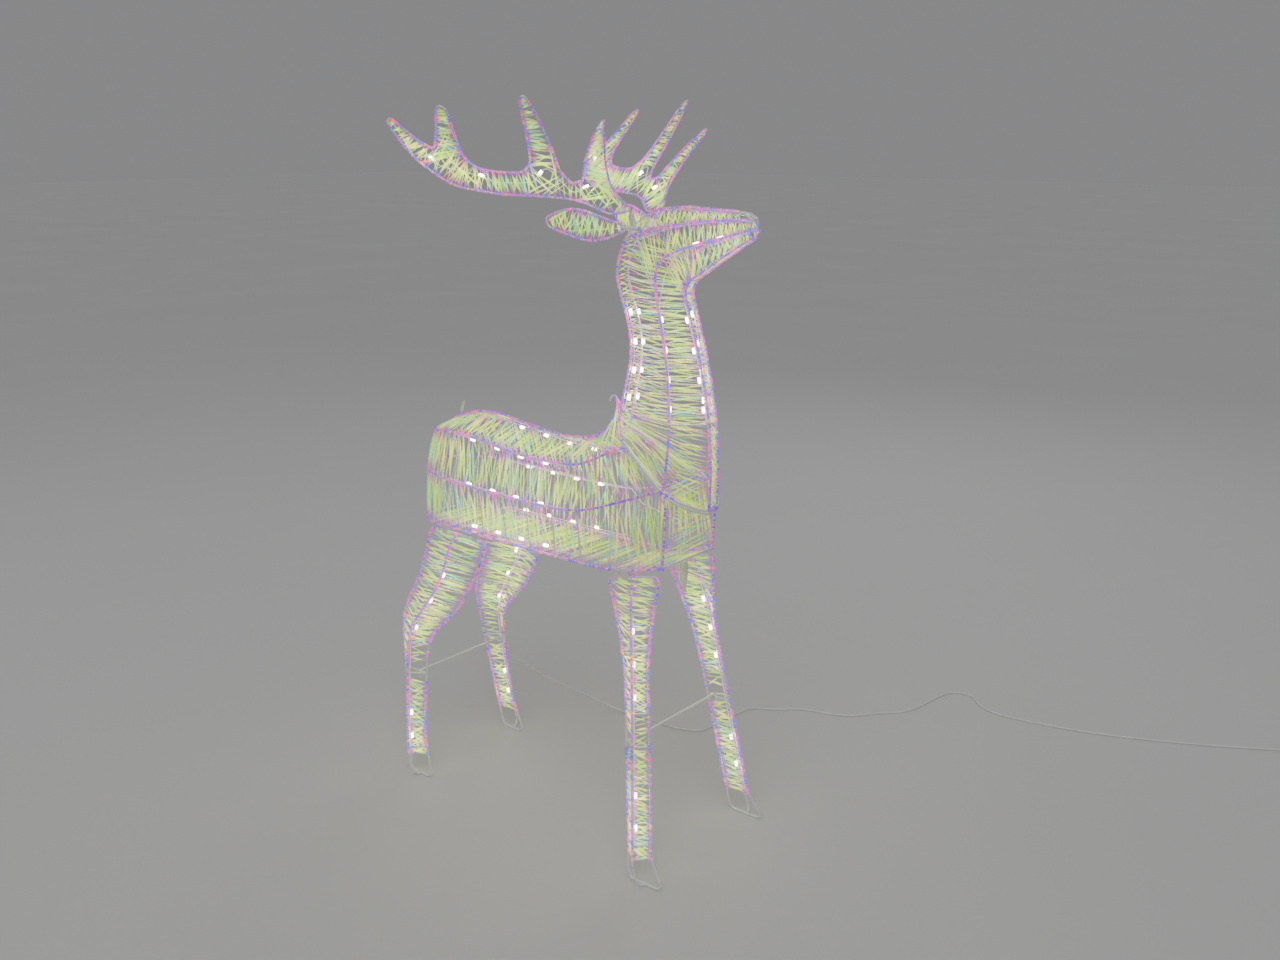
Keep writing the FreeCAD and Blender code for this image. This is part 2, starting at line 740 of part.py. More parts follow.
def make_legs():
    """The four legs, with the leaning plane of each pair set by its feet."""
    legs = []
    for name, side in SIDES.items():
        legs.append(Leg(f"{name}_front_leg", side, FRONT_LOOP, FRONT_OUTER, 147.0 * WIDTH_RATIO,
                        [446, 392, 338, 286, 232, 178, 124, 70], 232, 20.0))
        legs.append(Leg(f"{name}_hind_leg", side, HIND_LOOP, HIND_OUTER, 126.0 * WIDTH_RATIO,
                        [440, 384, 328, 262, 205, 150, 100, 60], 205, 22.0))
    for leg in legs:
        leg.frame()
        leg.film()
        leg.lights()
    return legs


# ---------------------------------------------------------------- clips

def clip(hold, loose, along):
    """A moulded clip: bored round one wire, with an open slot that the other wire leaves by."""
    across = unit(along.cross(loose - hold))
    rise = unit(across.cross(along))
    drop = (loose - hold).dot(rise)
    turn = Rotation(along, rise.cross(along), rise)
    side = turn.multVec(Vector(0, 1, 0))
    low = -mm("clip_width") / 2
    high = drop + RAIL + 1.5
    body = Part.makeBox(mm("clip_length"), mm("clip_width"), high - low)
    start = hold - along * (mm("clip_length") / 2)
    body.Placement = Placement(start - side * (mm("clip_width") / 2) + rise * low, turn)
    bore = Part.makeCylinder(RAIL + mm("clip_bore_gap"), mm("clip_length"), start, along)
    slot_width = mm("rail_wire") + 2 * mm("clip_slot_gap")
    slot = Part.makeBox(mm("clip_length"), slot_width, high)
    slot.Placement = Placement(start - side * (slot_width / 2) + rise * (drop - slot_width / 2), turn)
    return body.cut(bore).cut(slot).Solids[0]


CLIP_STATIONS = {"front": (165, 186), "hind": (-244, -165)}


def leg_clips(legs):
    """Two clips for each leg, fixed round the torso's lower rail."""
    solids = []
    for leg in legs:
        for x in CLIP_STATIONS["front" if "front" in leg.label else "hind"]:
            place = station(x)
            hold = lower_rail.crossing(0, place, leg.side)
            ahead = lower_rail.crossing(0, place + 2, leg.side)
            top = [point for point in leg.loop.samples if point.z > spot(0, 0, 470).z]
            loose = min(top, key=lambda point: abs(point.x - place))
            solids.append(clip(hold, loose, unit(ahead - hold)))
    group("leg_clips", solids)


# ---------------------------------------------------------------- antlers and ears

ANTLER_ROOT = (166, 35, 1077)
ANTLER_ALONG = Vector(-0.948, 0.320, 0.0)
ANTLER_RISE = Vector(0.193, 0.571, 0.798)
ANTLER_OUTLINE = [
    (150, 34), (82, 29), (36, 0), (14, 3), (-4, 12), (12, 32), (21, 62), (17, 110), (6, 150), (9, 164),
    (20, 156), (36, 132), (50, 104), (64, 66), (84, 60), (97, 82), (99, 140), (108, 196), (117, 224),
    (127, 210), (133, 150), (141, 100), (160, 80), (205, 80), (240, 88), (256, 112), (254, 160),
    (252, 196), (262, 206), (271, 196), (284, 158), (300, 124), (322, 138), (344, 168), (356, 184),
    (364, 174), (356, 141), (341, 104), (318, 76), (288, 50), (213, 36),
]
ANTLER_STRING = [(14, 12), (40, 60), (88, 40), (118, 92), (150, 60), (212, 58), (262, 80), (300, 88),
                 (328, 116)]
EAR_ROOT = (160, 38, 1057)
EAR_ALONG = Vector(-135.0, 50.0, 5.0)
EAR_OUTLINE = [(100, -16), (62, -25), (28, -17), (3, -4), (3, 4), (28, 10), (56, 19), (86, 26),
               (114, 21), (138, 8), (132, -6)]
SOCKET_LIP = 2.0
PRONG_STAND = 8.0


class Branch:
    """A flat outline of wire on a prong that turns in a socket: an antler or an ear."""

    def __init__(self, label, side, root, along, rise, outline, wire, turns_in):
        self.label = label
        self.side = side
        self.root = spot(root[0], side * root[1], root[2])
        self.along = unit(Vector(along.x, side * along.y, along.z))
        flat_rise = unit(Vector(rise.x, side * rise.y, rise.z))
        self.rise = unit(flat_rise - self.along * flat_rise.dot(self.along))
        self.normal = self.along.cross(self.rise)
        self.axis = self.along if turns_in == "along" else self.rise
        self.wire = wire
        area = sum(a[0] * b[1] - b[0] * a[1] for a, b in zip(outline, outline[1:] + outline[:1]))
        self.winding = 1 if area > 0 else -1
        corners = [self.at(s, t) for s, t in outline]
        middle = (corners[0] + corners[-1]) * 0.5
        gap = unit(corners[0] - corners[-1]) * (mm("butt_gap") / 2)
        self.loop = BentWire([middle + gap] + corners + [middle - gap], 6.0)

    def at(self, s, t, out=0.0):
        """A point of the outline's own plane."""
        return self.root + self.along * s + self.rise * t + self.normal * out

    def frame(self):
        """The outline and its prong."""
        length = mm("prong_depth") + PRONG_STAND
        prong = Part.makeCylinder(mm("prong_wire") / 2, length, self.root - self.axis * mm("prong_depth"),
                                  self.axis)
        group(f"{self.label}_frame", [self.loop.solid(mm(self.wire)), prong])

    def film(self):
        """A flat sheet of film inside the outline, clear of the prong."""
        half = mm("film_thick") / 2
        depth = mm(self.wire) / 2 + mm("film_gap")
        samples = self.loop.path.discretize(QuasiDeflection=0.2)
        low = []
        for n, point in enumerate(samples):
            along = unit(samples[min(n + 1, len(samples) - 1)] - samples[max(n - 1, 0)])
            inward = self.normal.cross(along) * self.winding
            low.append(point + inward * depth - self.normal * half)
        face = Part.Face(Part.makePolygon(low + [low[0]]))
        sheet_solid = face.extrude(self.normal * mm("film_thick"))
        reach = 2 * PRONG_STAND
        clear = Part.makeCylinder(mm("prong_wire") / 2 + mm("film_gap"), reach,
                                  self.root - self.axis * PRONG_STAND, self.axis)
        group(f"{self.label}_film", sheet_solid.cut(clear).Solids)

    def lights(self, route, lit):
        """A light string laid on the film, with lights beside some of its runs."""
        out = mm("film_thick") / 2 + STRING + mm("string_gap")
        points = [self.at(s, t, out) for s, t in route]
        light_string(f"{self.label}_light_string", points)
        lamps = []
        for n in lit:
            lamps += bulbs_along(points[n:n + 2], lambda point: point + self.normal)
        group(f"{self.label}_lights", lamps)

    def socket(self, kind):
        """The tube in the head that the prong turns in, as its label, root and axis."""
        return f"{self.label}_socket", self.root - self.axis * SOCKET_LIP, self.axis, kind


def cylinder(label, radius, height, placement):
    """A round primitive whose sizes follow the sheet."""
    feature = doc.addObject("Part::Cylinder", label)
    feature.setExpression("Radius", radius)
    feature.setExpression("Height", height)
    feature.Placement = placement
    return feature


def tube(label, radius, height, bore_radius, start, axis, from_floor=0.0):
    """A tube of sheet-driven sizes standing on a point along an axis."""
    turn = Rotation(UP, axis)
    body = cylinder(f"{label}_body", radius, height, Placement(start, turn))
    bore = cylinder(f"{label}_bore", bore_radius, height, Placement(start + axis * from_floor, turn))
    feature = doc.addObject("Part::Cut", label)
    feature.Base = body
    feature.Tool = bore
    feature.Label = label
    return keep(feature)


def socket(label, mouth, axis, kind):
    """A socket tube, bored through, below its mouth."""
    start = mouth - axis * mm(f"{kind}_socket_length")
    tube(label, f"sizes.{kind}_socket_width / 2", f"sizes.{kind}_socket_length",
         "sizes.prong_wire / 2 + sizes.prong_gap", start, axis)
    return start


def bracket(start, axis, kind, one_rail, other_rail):
    """A wire from one rail to another that passes just under a socket's end and is welded to it."""
    below = start - axis * (RIB + 0.1)
    ends = [rail.samples[rail.nearest(below)] for rail in (one_rail, other_rail)]
    across = ends[1] - ends[0]
    across = unit(across - axis * across.dot(axis))
    half = mm(f"{kind}_socket_width") / 2 + 0.5
    return BentWire([ends[0], below - across * half, below + across * half, ends[1]])


def make_branches():
    """Both antlers and both ears."""
    found = []
    for name, side in SIDES.items():
        found.append(("antler", Branch(f"{name}_antler", side, ANTLER_ROOT, ANTLER_ALONG, ANTLER_RISE,
                                       ANTLER_OUTLINE, "antler_wire", "rise")))
        found.append(("ear", Branch(f"{name}_ear", side, EAR_ROOT, EAR_ALONG, UP, EAR_OUTLINE,
                                    "ear_wire", "along")))
    return found


# ---------------------------------------------------------------- braces

HOOK_SIDE = 14.0
HOOK_DEPTH = 4.5


def brace(label, legs, toward):
    """A wire across a pair of legs, bent down at each end over a rib."""
    right = next(leg for leg in legs if leg.side == RIGHT)
    height = right.brace_height
    rear, outer, front = right.section(height)
    rail = rear if toward == "front" else front
    x = rail.x + HOOK_SIDE if toward == "front" else rail.x - HOOK_SIDE
    radius = mm("brace_wire") / 2
    level = rail.z + RIB + radius + mm("rest_gap")
    reach = abs(rail.y) + HOOK_DEPTH
    drop = mm("hook_drop") + radius
    bend = 6.0
    route = [Vector(x, -reach, level - drop), Vector(x, -reach, level), Vector(x, reach, level),
             Vector(x, reach, level - drop)]
    feature = doc.addObject("Part::Sweep", label)
    spine = doc.addObject("Part::Feature", f"{label}_route")
    spine.Shape = rounded_path(route, bend)
    section = doc.addObject("Part::Circle", f"{label}_section")
    section.setExpression("Radius", "sizes.brace_wire / 2")
    section.Placement = Placement(route[0], Rotation(UP, UP))
    feature.Sections = [section]
    feature.Spine = (spine, [f"Edge{n + 1}" for n in range(len(spine.Shape.Edges))])
    feature.Solid = True
    feature.Frenet = False
    feature.Label = label
    return keep(feature)


# ---------------------------------------------------------------- turned and moulded pieces

XZ_PLANE = 4
XY_PLANE = 3


def sketch_lines(sketch, points):
    """A closed outline of straight lines in a sketch, each corner pinned to the next."""
    for a, b in zip(points, points[1:] + points[:1]):
        sketch.addGeometry(Part.LineSegment(Vector(*a, 0), Vector(*b, 0)), False)


def turned(label, profile, placement):
    """A PartDesign body turned about its own Z from a half profile of (radius, height) expressions."""
    body = doc.addObject("PartDesign::Body", label)
    body.Label = label
    sketch = body.newObject("Sketcher::SketchObject", f"{label}_profile")
    sketch.AttachmentSupport = [(body.Origin.OriginFeatures[XZ_PLANE], "")]
    sketch.MapMode = "FlatFace"
    doc.recompute()
    numbers = [(worth(radius), worth(height)) for radius, height in profile]
    sketch_lines(sketch, numbers)
    count = len(profile)
    for n in range(count):
        sketch.addConstraint(Sketcher.Constraint("Coincident", n, 2, (n + 1) % count, 1))
    for n, (radius, height) in enumerate(profile):
        across, up = numbers[n]
        for kind, expression, value in (("DistanceX", radius, across), ("DistanceY", height, up)):
            if value < 0:
                raise ValueError(f"{label}: {expression} is below zero")
            place = sketch.addConstraint(Sketcher.Constraint(kind, -1, 1, n, 1, value))
            if value > 0:
                sketch.setExpression(f"Constraints[{place}]", expression)
    revolution = body.newObject("PartDesign::Revolution", f"{label}_turn")
    revolution.Profile = sketch
    revolution.ReferenceAxis = (sketch, ["V_Axis"])
    revolution.Angle = 360
    body.Placement = placement
    return keep(body)


def worth(expression):
    """The value of an expression over the sheet, worked out in a spare cell."""
    sheet.set("H1", "=" + expression.replace("sizes.", ""))
    sheet.recompute()
    value = float(sheet.get("H1"))
    sheet.clear("H1")
    return value


CONNECTOR_PROFILE = [
    ("0", "0"),
    ("sizes.connector_width / 2", "0"),
    ("sizes.connector_width / 2", "sizes.connector_length * 0.3"),
    ("sizes.connector_neck / 2", "sizes.connector_length"),
    ("0", "sizes.connector_length"),
]
COIL_PROFILE = [
    ("(sizes.coil_middle - sizes.coil_thick) / 2", "sizes.coil_height * 0.25"),
    ("(sizes.coil_middle - sizes.coil_thick * 0.5) / 2", "0"),
    ("(sizes.coil_middle + sizes.coil_thick * 0.5) / 2", "0"),
    ("(sizes.coil_middle + sizes.coil_thick) / 2", "sizes.coil_height * 0.25"),
    ("(sizes.coil_middle + sizes.coil_thick) / 2", "sizes.coil_height * 0.75"),
    ("(sizes.coil_middle + sizes.coil_thick * 0.5) / 2", "sizes.coil_height"),
    ("(sizes.coil_middle - sizes.coil_thick * 0.5) / 2", "sizes.coil_height"),
    ("(sizes.coil_middle - sizes.coil_thick) / 2", "sizes.coil_height * 0.75"),
]


def connector():
    """The in-line connector's two tapered halves, hanging from the torso's string."""
    joint = CONNECTOR_TOP - UP * (mm("connector_length") + mm("string_gap") / 2)
    turned("connector_socket", CONNECTOR_PROFILE, Placement(joint, Rotation()))
    turned("connector_plug", CONNECTOR_PROFILE,
           Placement(joint - UP * mm("string_gap"), Rotation(Vector(1, 0, 0), 180)))


FLOOR_LEVEL = mm("cord_width") / 2 + 0.1
CORD_DROP = [(1, 9, -21), (14, 60, -68), (33, 114, -111), (63, 173, -153)]
CORD_ON_FLOOR = [
    (-160, 326), (-92, 337), (-34, 335), (26, 355), (28, 388), (35, 465), (41, 521), (89, 541),
    (125, 583), (223, 606), (271, 671), (319, 716), (328, 814), (341, 868), (385, 880), (418, 840),
    (462, 822), (537, 832), (673, 866), (847, 950), (976, 1027),
]
COIL_CENTRE = Vector(1055, 1042, 0.2)
COIL_ENTRY = math.radians(30)
ADAPTER_CENTRE = Vector(1117, 1046, 0)


def lead_start(leg):
    """Where the cord begins, beside the front wire of a hind leg."""
    return leg.section(194)[2] + Vector(RAIL + mm("sleeve_width") / 2 + mm("rest_gap"), 0, 0)


def lead_route(leg):
    """The lead cord's points: from a wire of a hind leg down to the floor and away to its coil."""
    start = lead_start(leg)
    points = [start] + [start + Vector(*step) for step in CORD_DROP]
    points += [Vector(x - DRAWN_MIDDLE, y, FLOOR_LEVEL) for x, y in CORD_ON_FLOOR]
    # the cord tucks in against the coil's sloped lower edge
    reach = (mm("coil_middle") + mm("coil_thick") - mm("cord_width") * 0.65) / 2 + 2.0
    beside = COIL_CENTRE + Vector(-math.sin(COIL_ENTRY), math.cos(COIL_ENTRY), 0) * reach
    return points + [Vector(beside.x, beside.y, FLOOR_LEVEL)]


def cord(label, route):
    """A round cord, with its facts printed."""
    wire = BentWire(route)
    radii = [edge.Curve.Radius for edge in wire.path.Edges if hasattr(edge.Curve, "Radius")]
    solid = wire.solid(mm("cord_width"))
    section = math.pi * mm("cord_width") ** 2 / 4
    print(f"{label}: length {wire.path.Length:.0f}, least bend {min(radii):.1f}, "
          f"volume over section times length {solid.Volume / (section * wire.path.Length):.4f}")
    group(label, [solid])


def lead(leg):
    """The clear lead cord, the coil of its unused length and the cord on to the adapter."""
    cord("lead_cord", lead_route(leg))
    turned("lead_coil", COIL_PROFILE, Placement(COIL_CENTRE, Rotation()))
    tail = ADAPTER_CENTRE + UP * (0.1 + mm("adapter_height") / 2)
    tail = tail - Vector(0, mm("adapter_length") / 2 + mm("relief_length") + mm("rest_gap"), 0)
    beside = COIL_CENTRE.y - (mm("coil_middle") + mm("coil_thick")) / 2 - mm("rest_gap")
    cord("adapter_cord", [
        tail, tail + Vector(0, -24, 0), Vector(tail.x - 16, tail.y - 50, FLOOR_LEVEL),
        Vector(tail.x - 46, tail.y - 46, FLOOR_LEVEL), Vector(COIL_CENTRE.x, beside - 26, FLOOR_LEVEL),
        Vector(COIL_CENTRE.x, beside, FLOOR_LEVEL),
    ])


def exit_sleeve(leg):
    """A short sleeve round the cord where it leaves the leg, beside the leg's wire."""
    start = lead_start(leg)
    axis = unit(Vector(*CORD_DROP[0]))
    sleeve = Part.makeCylinder(mm("sleeve_width") / 2, mm("sleeve_length"), start, axis)
    bore = Part.makeCylinder(mm("cord_width") / 2 + 0.1, mm("sleeve_length"), start, axis)
    group("exit_sleeve", [sleeve.cut(bore)])


def tail_peg():
    """The open tube on the rump, standing on the spine."""
    top = spine_rail.crossing(0, station(-276))
    axis = unit(Vector(8, 0, 22))
    start = top + axis * (RAIL + mm("peg_width") * 0.6)
    tube("tail_peg", "sizes.peg_width / 2", "sizes.peg_length", "sizes.peg_bore / 2", start, axis, 4.0)


def adapter():
    """The plug-in adapter that lies beside the coil, with a strain relief and two pins."""
    body = doc.addObject("PartDesign::Body", "adapter")
    body.Label = "adapter"
    sketch = body.newObject("Sketcher::SketchObject", "adapter_outline")
    sketch.AttachmentSupport = [(body.Origin.OriginFeatures[XY_PLANE], "")]
    sketch.MapMode = "FlatFace"
    doc.recompute()
    length, width = mm("adapter_length"), mm("adapter_width")
    corners = [(-width / 2, -length / 2), (width / 2, -length / 2)]
    corners += [(width / 2, length / 2), (-width / 2, length / 2)]
    sketch_lines(sketch, corners)
    for n in range(4):
        sketch.addConstraint(Sketcher.Constraint("Coincident", n, 2, (n + 1) % 4, 1))
        sketch.addConstraint(Sketcher.Constraint("Horizontal" if n % 2 == 0 else "Vertical", n))
    sketch.addConstraint(Sketcher.Constraint("Symmetric", 0, 1, 1, 2, -1, 1))
    across = sketch.addConstraint(Sketcher.Constraint("DistanceX", 0, 1, 0, 2, width))
    along = sketch.addConstraint(Sketcher.Constraint("DistanceY", 1, 1, 1, 2, length))
    sketch.setExpression(f"Constraints[{across}]", "sizes.adapter_width")
    sketch.setExpression(f"Constraints[{along}]", "sizes.adapter_length")
    pad = body.newObject("PartDesign::Pad", "adapter_block")
    pad.Profile = sketch
    pad.setExpression("Length", "sizes.adapter_height")
    doc.recompute()
    upright = [f"Edge{n + 1}" for n, edge in enumerate(pad.Shape.Edges)
               if abs(edge.tangentAt(edge.FirstParameter).z) > 0.9]
    rounding = body.newObject("PartDesign::Fillet", "adapter_corners")
    rounding.Base = (pad, upright)
    rounding.setExpression("Radius", "sizes.adapter_corner")
    body.Placement = Placement(ADAPTER_CENTRE + UP * 0.1, Rotation())
    keep(body)
    middle = ADAPTER_CENTRE + UP * (0.1 + mm("adapter_height") / 2)
    for name, side in SIDES.items():
        start = middle + Vector(side * mm("pin_spacing") / 2, length / 2 + 0.05, 0)
        pin = cylinder(f"{name}_adapter_pin", "sizes.pin_width / 2", "sizes.pin_length",
                       Placement(start, Rotation(UP, Vector(0, 1, 0))))
        pin.Label = f"{name}_adapter_pin"
        keep(pin)
    relief = cylinder("strain_relief", "sizes.relief_width / 2", "sizes.relief_length",
                      Placement(middle - Vector(0, length / 2 + 0.05, 0), Rotation(UP, Vector(0, -1, 0))))
    relief.Label = "strain_relief"
    keep(relief)


# ---------------------------------------------------------------- build

os.makedirs("parts", exist_ok=True)

branches = make_branches()
brackets = []
for kind, branch in branches:
    label, mouth, axis, kind = branch.socket(kind)
    below = socket(label, mouth, axis, kind)
    brackets.append(bracket(below, axis, kind, cheek_rails[branch.side], back_rails[branch.side]))

torso_frame()
torso_film()
torso_lights()
tail_peg()
neck_frame()
neck_film()
neck_lights()
all_legs = make_legs()
leg_clips(all_legs)
for kind, branch in branches:
    branch.frame()
    branch.film()
    if kind == "antler":
        branch.lights(ANTLER_STRING, (1, 3, 5, 7))
front_pair = [leg for leg in all_legs if "front" in leg.label]
hind_pair = [leg for leg in all_legs if "hind" in leg.label]
brace("front_brace", front_pair, "front")
brace("rear_brace", hind_pair, "rear")
connector()
left_hind = next(leg for leg in hind_pair if leg.side == LEFT)
lead(left_hind)
exit_sleeve(left_hind)
adapter()

doc.recompute()
broken = []
for feature in doc.Objects:
    if "Invalid" in feature.State or "Error" in feature.State:
        broken.append(f"{feature.Label}: {feature.State}")
for feature in PARTS:
    if feature.Shape.isNull() or not feature.Shape.isValid() or not feature.Shape.Solids:
        broken.append(f"{feature.Label}: bad shape")
if broken:
    raise SystemExit("\n".join(broken))
for feature in PARTS:
    feature.Shape.exportStep(f"parts/{feature.Label}.step")
    print(f"{feature.Label}: {len(feature.Shape.Solids)} solids, {feature.Shape.Volume:.0f} mm3")
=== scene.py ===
"""Visual model of a light-up yard reindeer.

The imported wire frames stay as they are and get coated-wire materials. The plain film strips of
the frame are replaced by wound iridescent strands, and the lead cord by one smooth spline with its
spare length coiled.
"""

import logging
import math
import random
from dataclasses import dataclass, field
from enum import Enum

import bmesh
import bpy
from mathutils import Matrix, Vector
from mathutils.bvhtree import BVHTree
from mathutils.kdtree import KDTree


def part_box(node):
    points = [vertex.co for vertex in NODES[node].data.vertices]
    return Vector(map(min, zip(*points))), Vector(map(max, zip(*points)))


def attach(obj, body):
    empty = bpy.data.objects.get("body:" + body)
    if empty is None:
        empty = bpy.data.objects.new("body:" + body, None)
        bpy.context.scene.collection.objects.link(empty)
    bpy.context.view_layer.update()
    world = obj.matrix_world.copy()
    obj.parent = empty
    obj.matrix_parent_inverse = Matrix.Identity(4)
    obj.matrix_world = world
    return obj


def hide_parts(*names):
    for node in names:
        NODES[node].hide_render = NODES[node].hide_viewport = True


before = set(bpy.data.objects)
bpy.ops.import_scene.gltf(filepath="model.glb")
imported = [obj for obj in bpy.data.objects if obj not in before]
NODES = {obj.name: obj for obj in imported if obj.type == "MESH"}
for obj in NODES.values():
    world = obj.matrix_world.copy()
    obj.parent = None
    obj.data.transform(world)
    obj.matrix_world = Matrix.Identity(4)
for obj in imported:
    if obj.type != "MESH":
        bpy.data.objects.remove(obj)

logging.basicConfig(level=logging.INFO, format="%(name)s: %(message)s")
log = logging.getLogger("reindeer")

SIDES = ("right", "left")
LEGS = tuple(f"{side}_{end}_leg" for side in SIDES for end in ("front", "hind"))


# ---------------------------------------------------------------- node maths


class Sock:
    """A node socket that can be used in ordinary arithmetic."""

    def __init__(self, tree, socket):
        self.tree = tree
        self.socket = socket

    def math(self, operation, *others):
        """Adds a Math node.

        Args:
            operation: the Math node's operation.
            others: further operands, as sockets or numbers.

        Returns:
            The result, as another socket.
        """
        node = self.tree.nodes.new("ShaderNodeMath")
        node.operation = operation
        for n, value in enumerate((self, *others)):
            if isinstance(value, Sock):
                self.tree.links.new(value.socket, node.inputs[n])
            else:
                node.inputs[n].default_value = value
        return Sock(self.tree, node.outputs[0])

    def __add__(self, other):
        return self.math("ADD", other)

    def __sub__(self, other):
        return self.math("SUBTRACT", other)

    def __mul__(self, other):
        return self.math("MULTIPLY", other)

    def __truediv__(self, other):
        return self.math("DIVIDE", other)

    def __pow__(self, other):
        return self.math("POWER", other)

    def sin(self):
        """The sine of the value."""
        return self.math("SINE")

    def cos(self):
        """The cosine of the value."""
        return self.math("COSINE")

    def clamped(self):
        """The value kept between 0 and 1."""
        return self.math("MAXIMUM", 0.0).math("MINIMUM", 1.0)

    def ramp(self, low, high):
        """0 below low, 1 above high, and straight between.

        Args:
            low: the value that gives 0.
            high: the value that gives 1.

        Returns:
            The share of the way from low to high.
        """
        return ((self - low) / (high - low)).clamped()


class Tree:
    """A node tree with one method that adds any node."""

    def __init__(self, tree):
        self.tree = tree

    def add(self, kind, inputs=None, output=0, **settings):
        """Adds a node, sets its properties and feeds its inputs.

        Args:
            kind: the node's type name.
            inputs: input name or number to a socket or a value.
            output: the name or number of the output to return.
            settings: the node's properties.

        Returns:
            The chosen output.
        """
        node = self.tree.nodes.new(kind)
        for name, value in settings.items():
            setattr(node, name, value)
        for key, value in (inputs or {}).items():
            if isinstance(value, Sock):
                self.tree.links.new(value.socket, node.inputs[key])
            else:
                node.inputs[key].default_value = value
        return Sock(self.tree, node.outputs[output])


# ---------------------------------------------------------------- finishes


def rgba(colour):
    """A colour with full alpha.

    Args:
        colour: red, green and blue.

    Returns:
        Red, green, blue and alpha.
    """
    return (*colour, 1.0)


class ShaderTree(Tree):
    """A material's node tree, with the textures that the finishes share."""

    def __init__(self, name):
        self.material = bpy.data.materials.new(name)
        self.material.use_nodes = True
        super().__init__(self.material.node_tree)
        self.shader = self.tree.nodes["Principled BSDF"]

    def feed(self, **values):
        """Feeds the shader's own inputs.

        Args:
            values: input name, with spaces as underscores, to a socket or a value.
        """
        for key, value in values.items():
            socket = self.shader.inputs[key.replace("_", " ")]
            if isinstance(value, Sock):
                self.tree.links.new(value.socket, socket)
            else:
                socket.default_value = value

    def place(self):
        """The shaded point in the piece's own space."""
        return self.add("ShaderNodeTexCoord", output="Object")

    def noise(self, scale, detail=2.0):
        """Smooth noise.

        Args:
            scale: how many waves to a metre.
            detail: how many finer layers.

        Returns:
            The noise, about 0.5.
        """
        return self.add("ShaderNodeTexNoise", {"Vector": self.place(), "Scale": scale, "Detail": detail})

    def attribute(self, name):
        """A number stored on the mesh.

        Args:
            name: the attribute's name.

        Returns:
            Its value.
        """
        return self.add("ShaderNodeAttribute", output="Fac", attribute_name=name)

    def mix(self, share, one, other):
        """Two colours mixed.

        Args:
            share: how much of the second.
            one: the first colour.
            other: the second colour.

        Returns:
            The mixed colour.
        """
        return self.add("ShaderNodeMix", {0: share, 6: one, 7: other}, output=2, data_type="RGBA")

    def bump(self, height, strength, distance):
        """A bumped normal.

        Args:
            height: the height field.
            strength: how much of it shows.
            distance: its depth in metres.

        Returns:
            The normal.
        """
        return self.add("ShaderNodeBump", {"Height": height, "Strength": strength, "Distance": distance})


@dataclass(frozen=True)
class WireFinish:
    """Bright coated steel wire, with faint dull spots."""

    colour: tuple = (0.93, 0.94, 0.96)
    dull: tuple = (0.70, 0.72, 0.75)

    def build(self):
        """Makes the material."""
        tree = ShaderTree("coated_wire")
        spots = tree.noise(420.0, 4.0)
        patches = tree.noise(38.0)
        tree.feed(
            Base_Color=tree.mix(spots.ramp(0.45, 0.72) * 0.7, rgba(self.colour), rgba(self.dull)),
            Metallic=0.35,
            Roughness=patches * 0.22 + 0.20,
            Coat_Weight=0.25,
            Coat_Roughness=0.15,
            Normal=tree.bump(spots, 0.25, 0.0004),
        )
        return tree.material


@dataclass(frozen=True)
class FilmFinish:
    """Iridescent film: lime and cream in mid strand, violet, blue and magenta at the wires, with the bulbs' light
    painted on it as self-lit colour.
    """

    lime: tuple = (0.46, 0.80, 0.03)
    cream: tuple = (0.98, 0.90, 0.22)
    violet: tuple = (0.14, 0.06, 0.70)
    magenta: tuple = (0.66, 0.06, 0.50)
    teal: tuple = (0.01, 0.55, 0.44)
    amber: tuple = (0.95, 0.28, 0.02)

    def build(self):
        """Makes the material."""
        tree = ShaderTree("iridescent_film")
        along = tree.attribute("along")
        tint = tree.attribute("tint")
        glow = tree.attribute("glow")
        edge = (along - 0.5).math("ABSOLUTE") * 2.0
        cloud = tree.noise(55.0, 3.0)
        middle = tree.mix((tint * 1.6 + cloud - 0.8).clamped(), rgba(self.lime), rgba(self.cream))
        middle = tree.mix(tint.ramp(0.78, 0.84) * 0.8, middle, rgba(self.teal))
        ends = tree.mix(cloud.ramp(0.42, 0.60), rgba(self.violet), rgba(self.magenta))
        ends = tree.mix((tint * 7.0).math("FRACT").ramp(0.80, 0.90) * 0.8, ends, rgba(self.amber))
        reach = (edge + (cloud - 0.5) * 1.1).ramp(0.42, 0.88)
        colour = tree.mix(reach, middle, ends)
        # Painted light: the film is no lamp, yet it is made to shine with the bulbs' light, full near a bulb and
        # a quarter as strong far from any.
        lit = tree.add("ShaderNodeVectorMath", {0: colour, "Scale": glow * 0.75 + 0.25}, operation="SCALE")
        tree.feed(
            Base_Color=colour,
            Metallic=0.2,
            Roughness=cloud * 0.15 + 0.10,
            Alpha=tree.noise(140.0).ramp(0.30, 0.62) * 0.32 + 0.54,
            Coat_Weight=0.35,
            Coat_Roughness=0.08,
            Thin_Film_Thickness=460.0,
            Thin_Film_IOR=1.55,
            Emission_Color=lit,
            Emission_Strength=2.1,
            Normal=tree.bump(tree.noise(900.0, 3.0), 0.35, 0.0006),
        )
        return tree.material


@dataclass(frozen=True)
class BulbFinish:
    """A lit warm white bulb."""

    colour: tuple = (1.0, 0.80, 0.50)
    strength: float = 24.0

    def build(self):
        """Makes the material."""
        tree = ShaderTree("warm_bulb")
        swirl = tree.noise(600.0)
        tree.feed(
            Base_Color=tree.mix(swirl, (1.0, 0.95, 0.85, 1.0), rgba(self.colour)),
            Roughness=swirl * 0.1 + 0.08,
            Coat_Weight=1.0,
            Emission_Color=tree.mix(swirl * 0.6, (1.0, 0.88, 0.66, 1.0), rgba(self.colour)),
            Emission_Strength=self.strength,
        )
        return tree.material


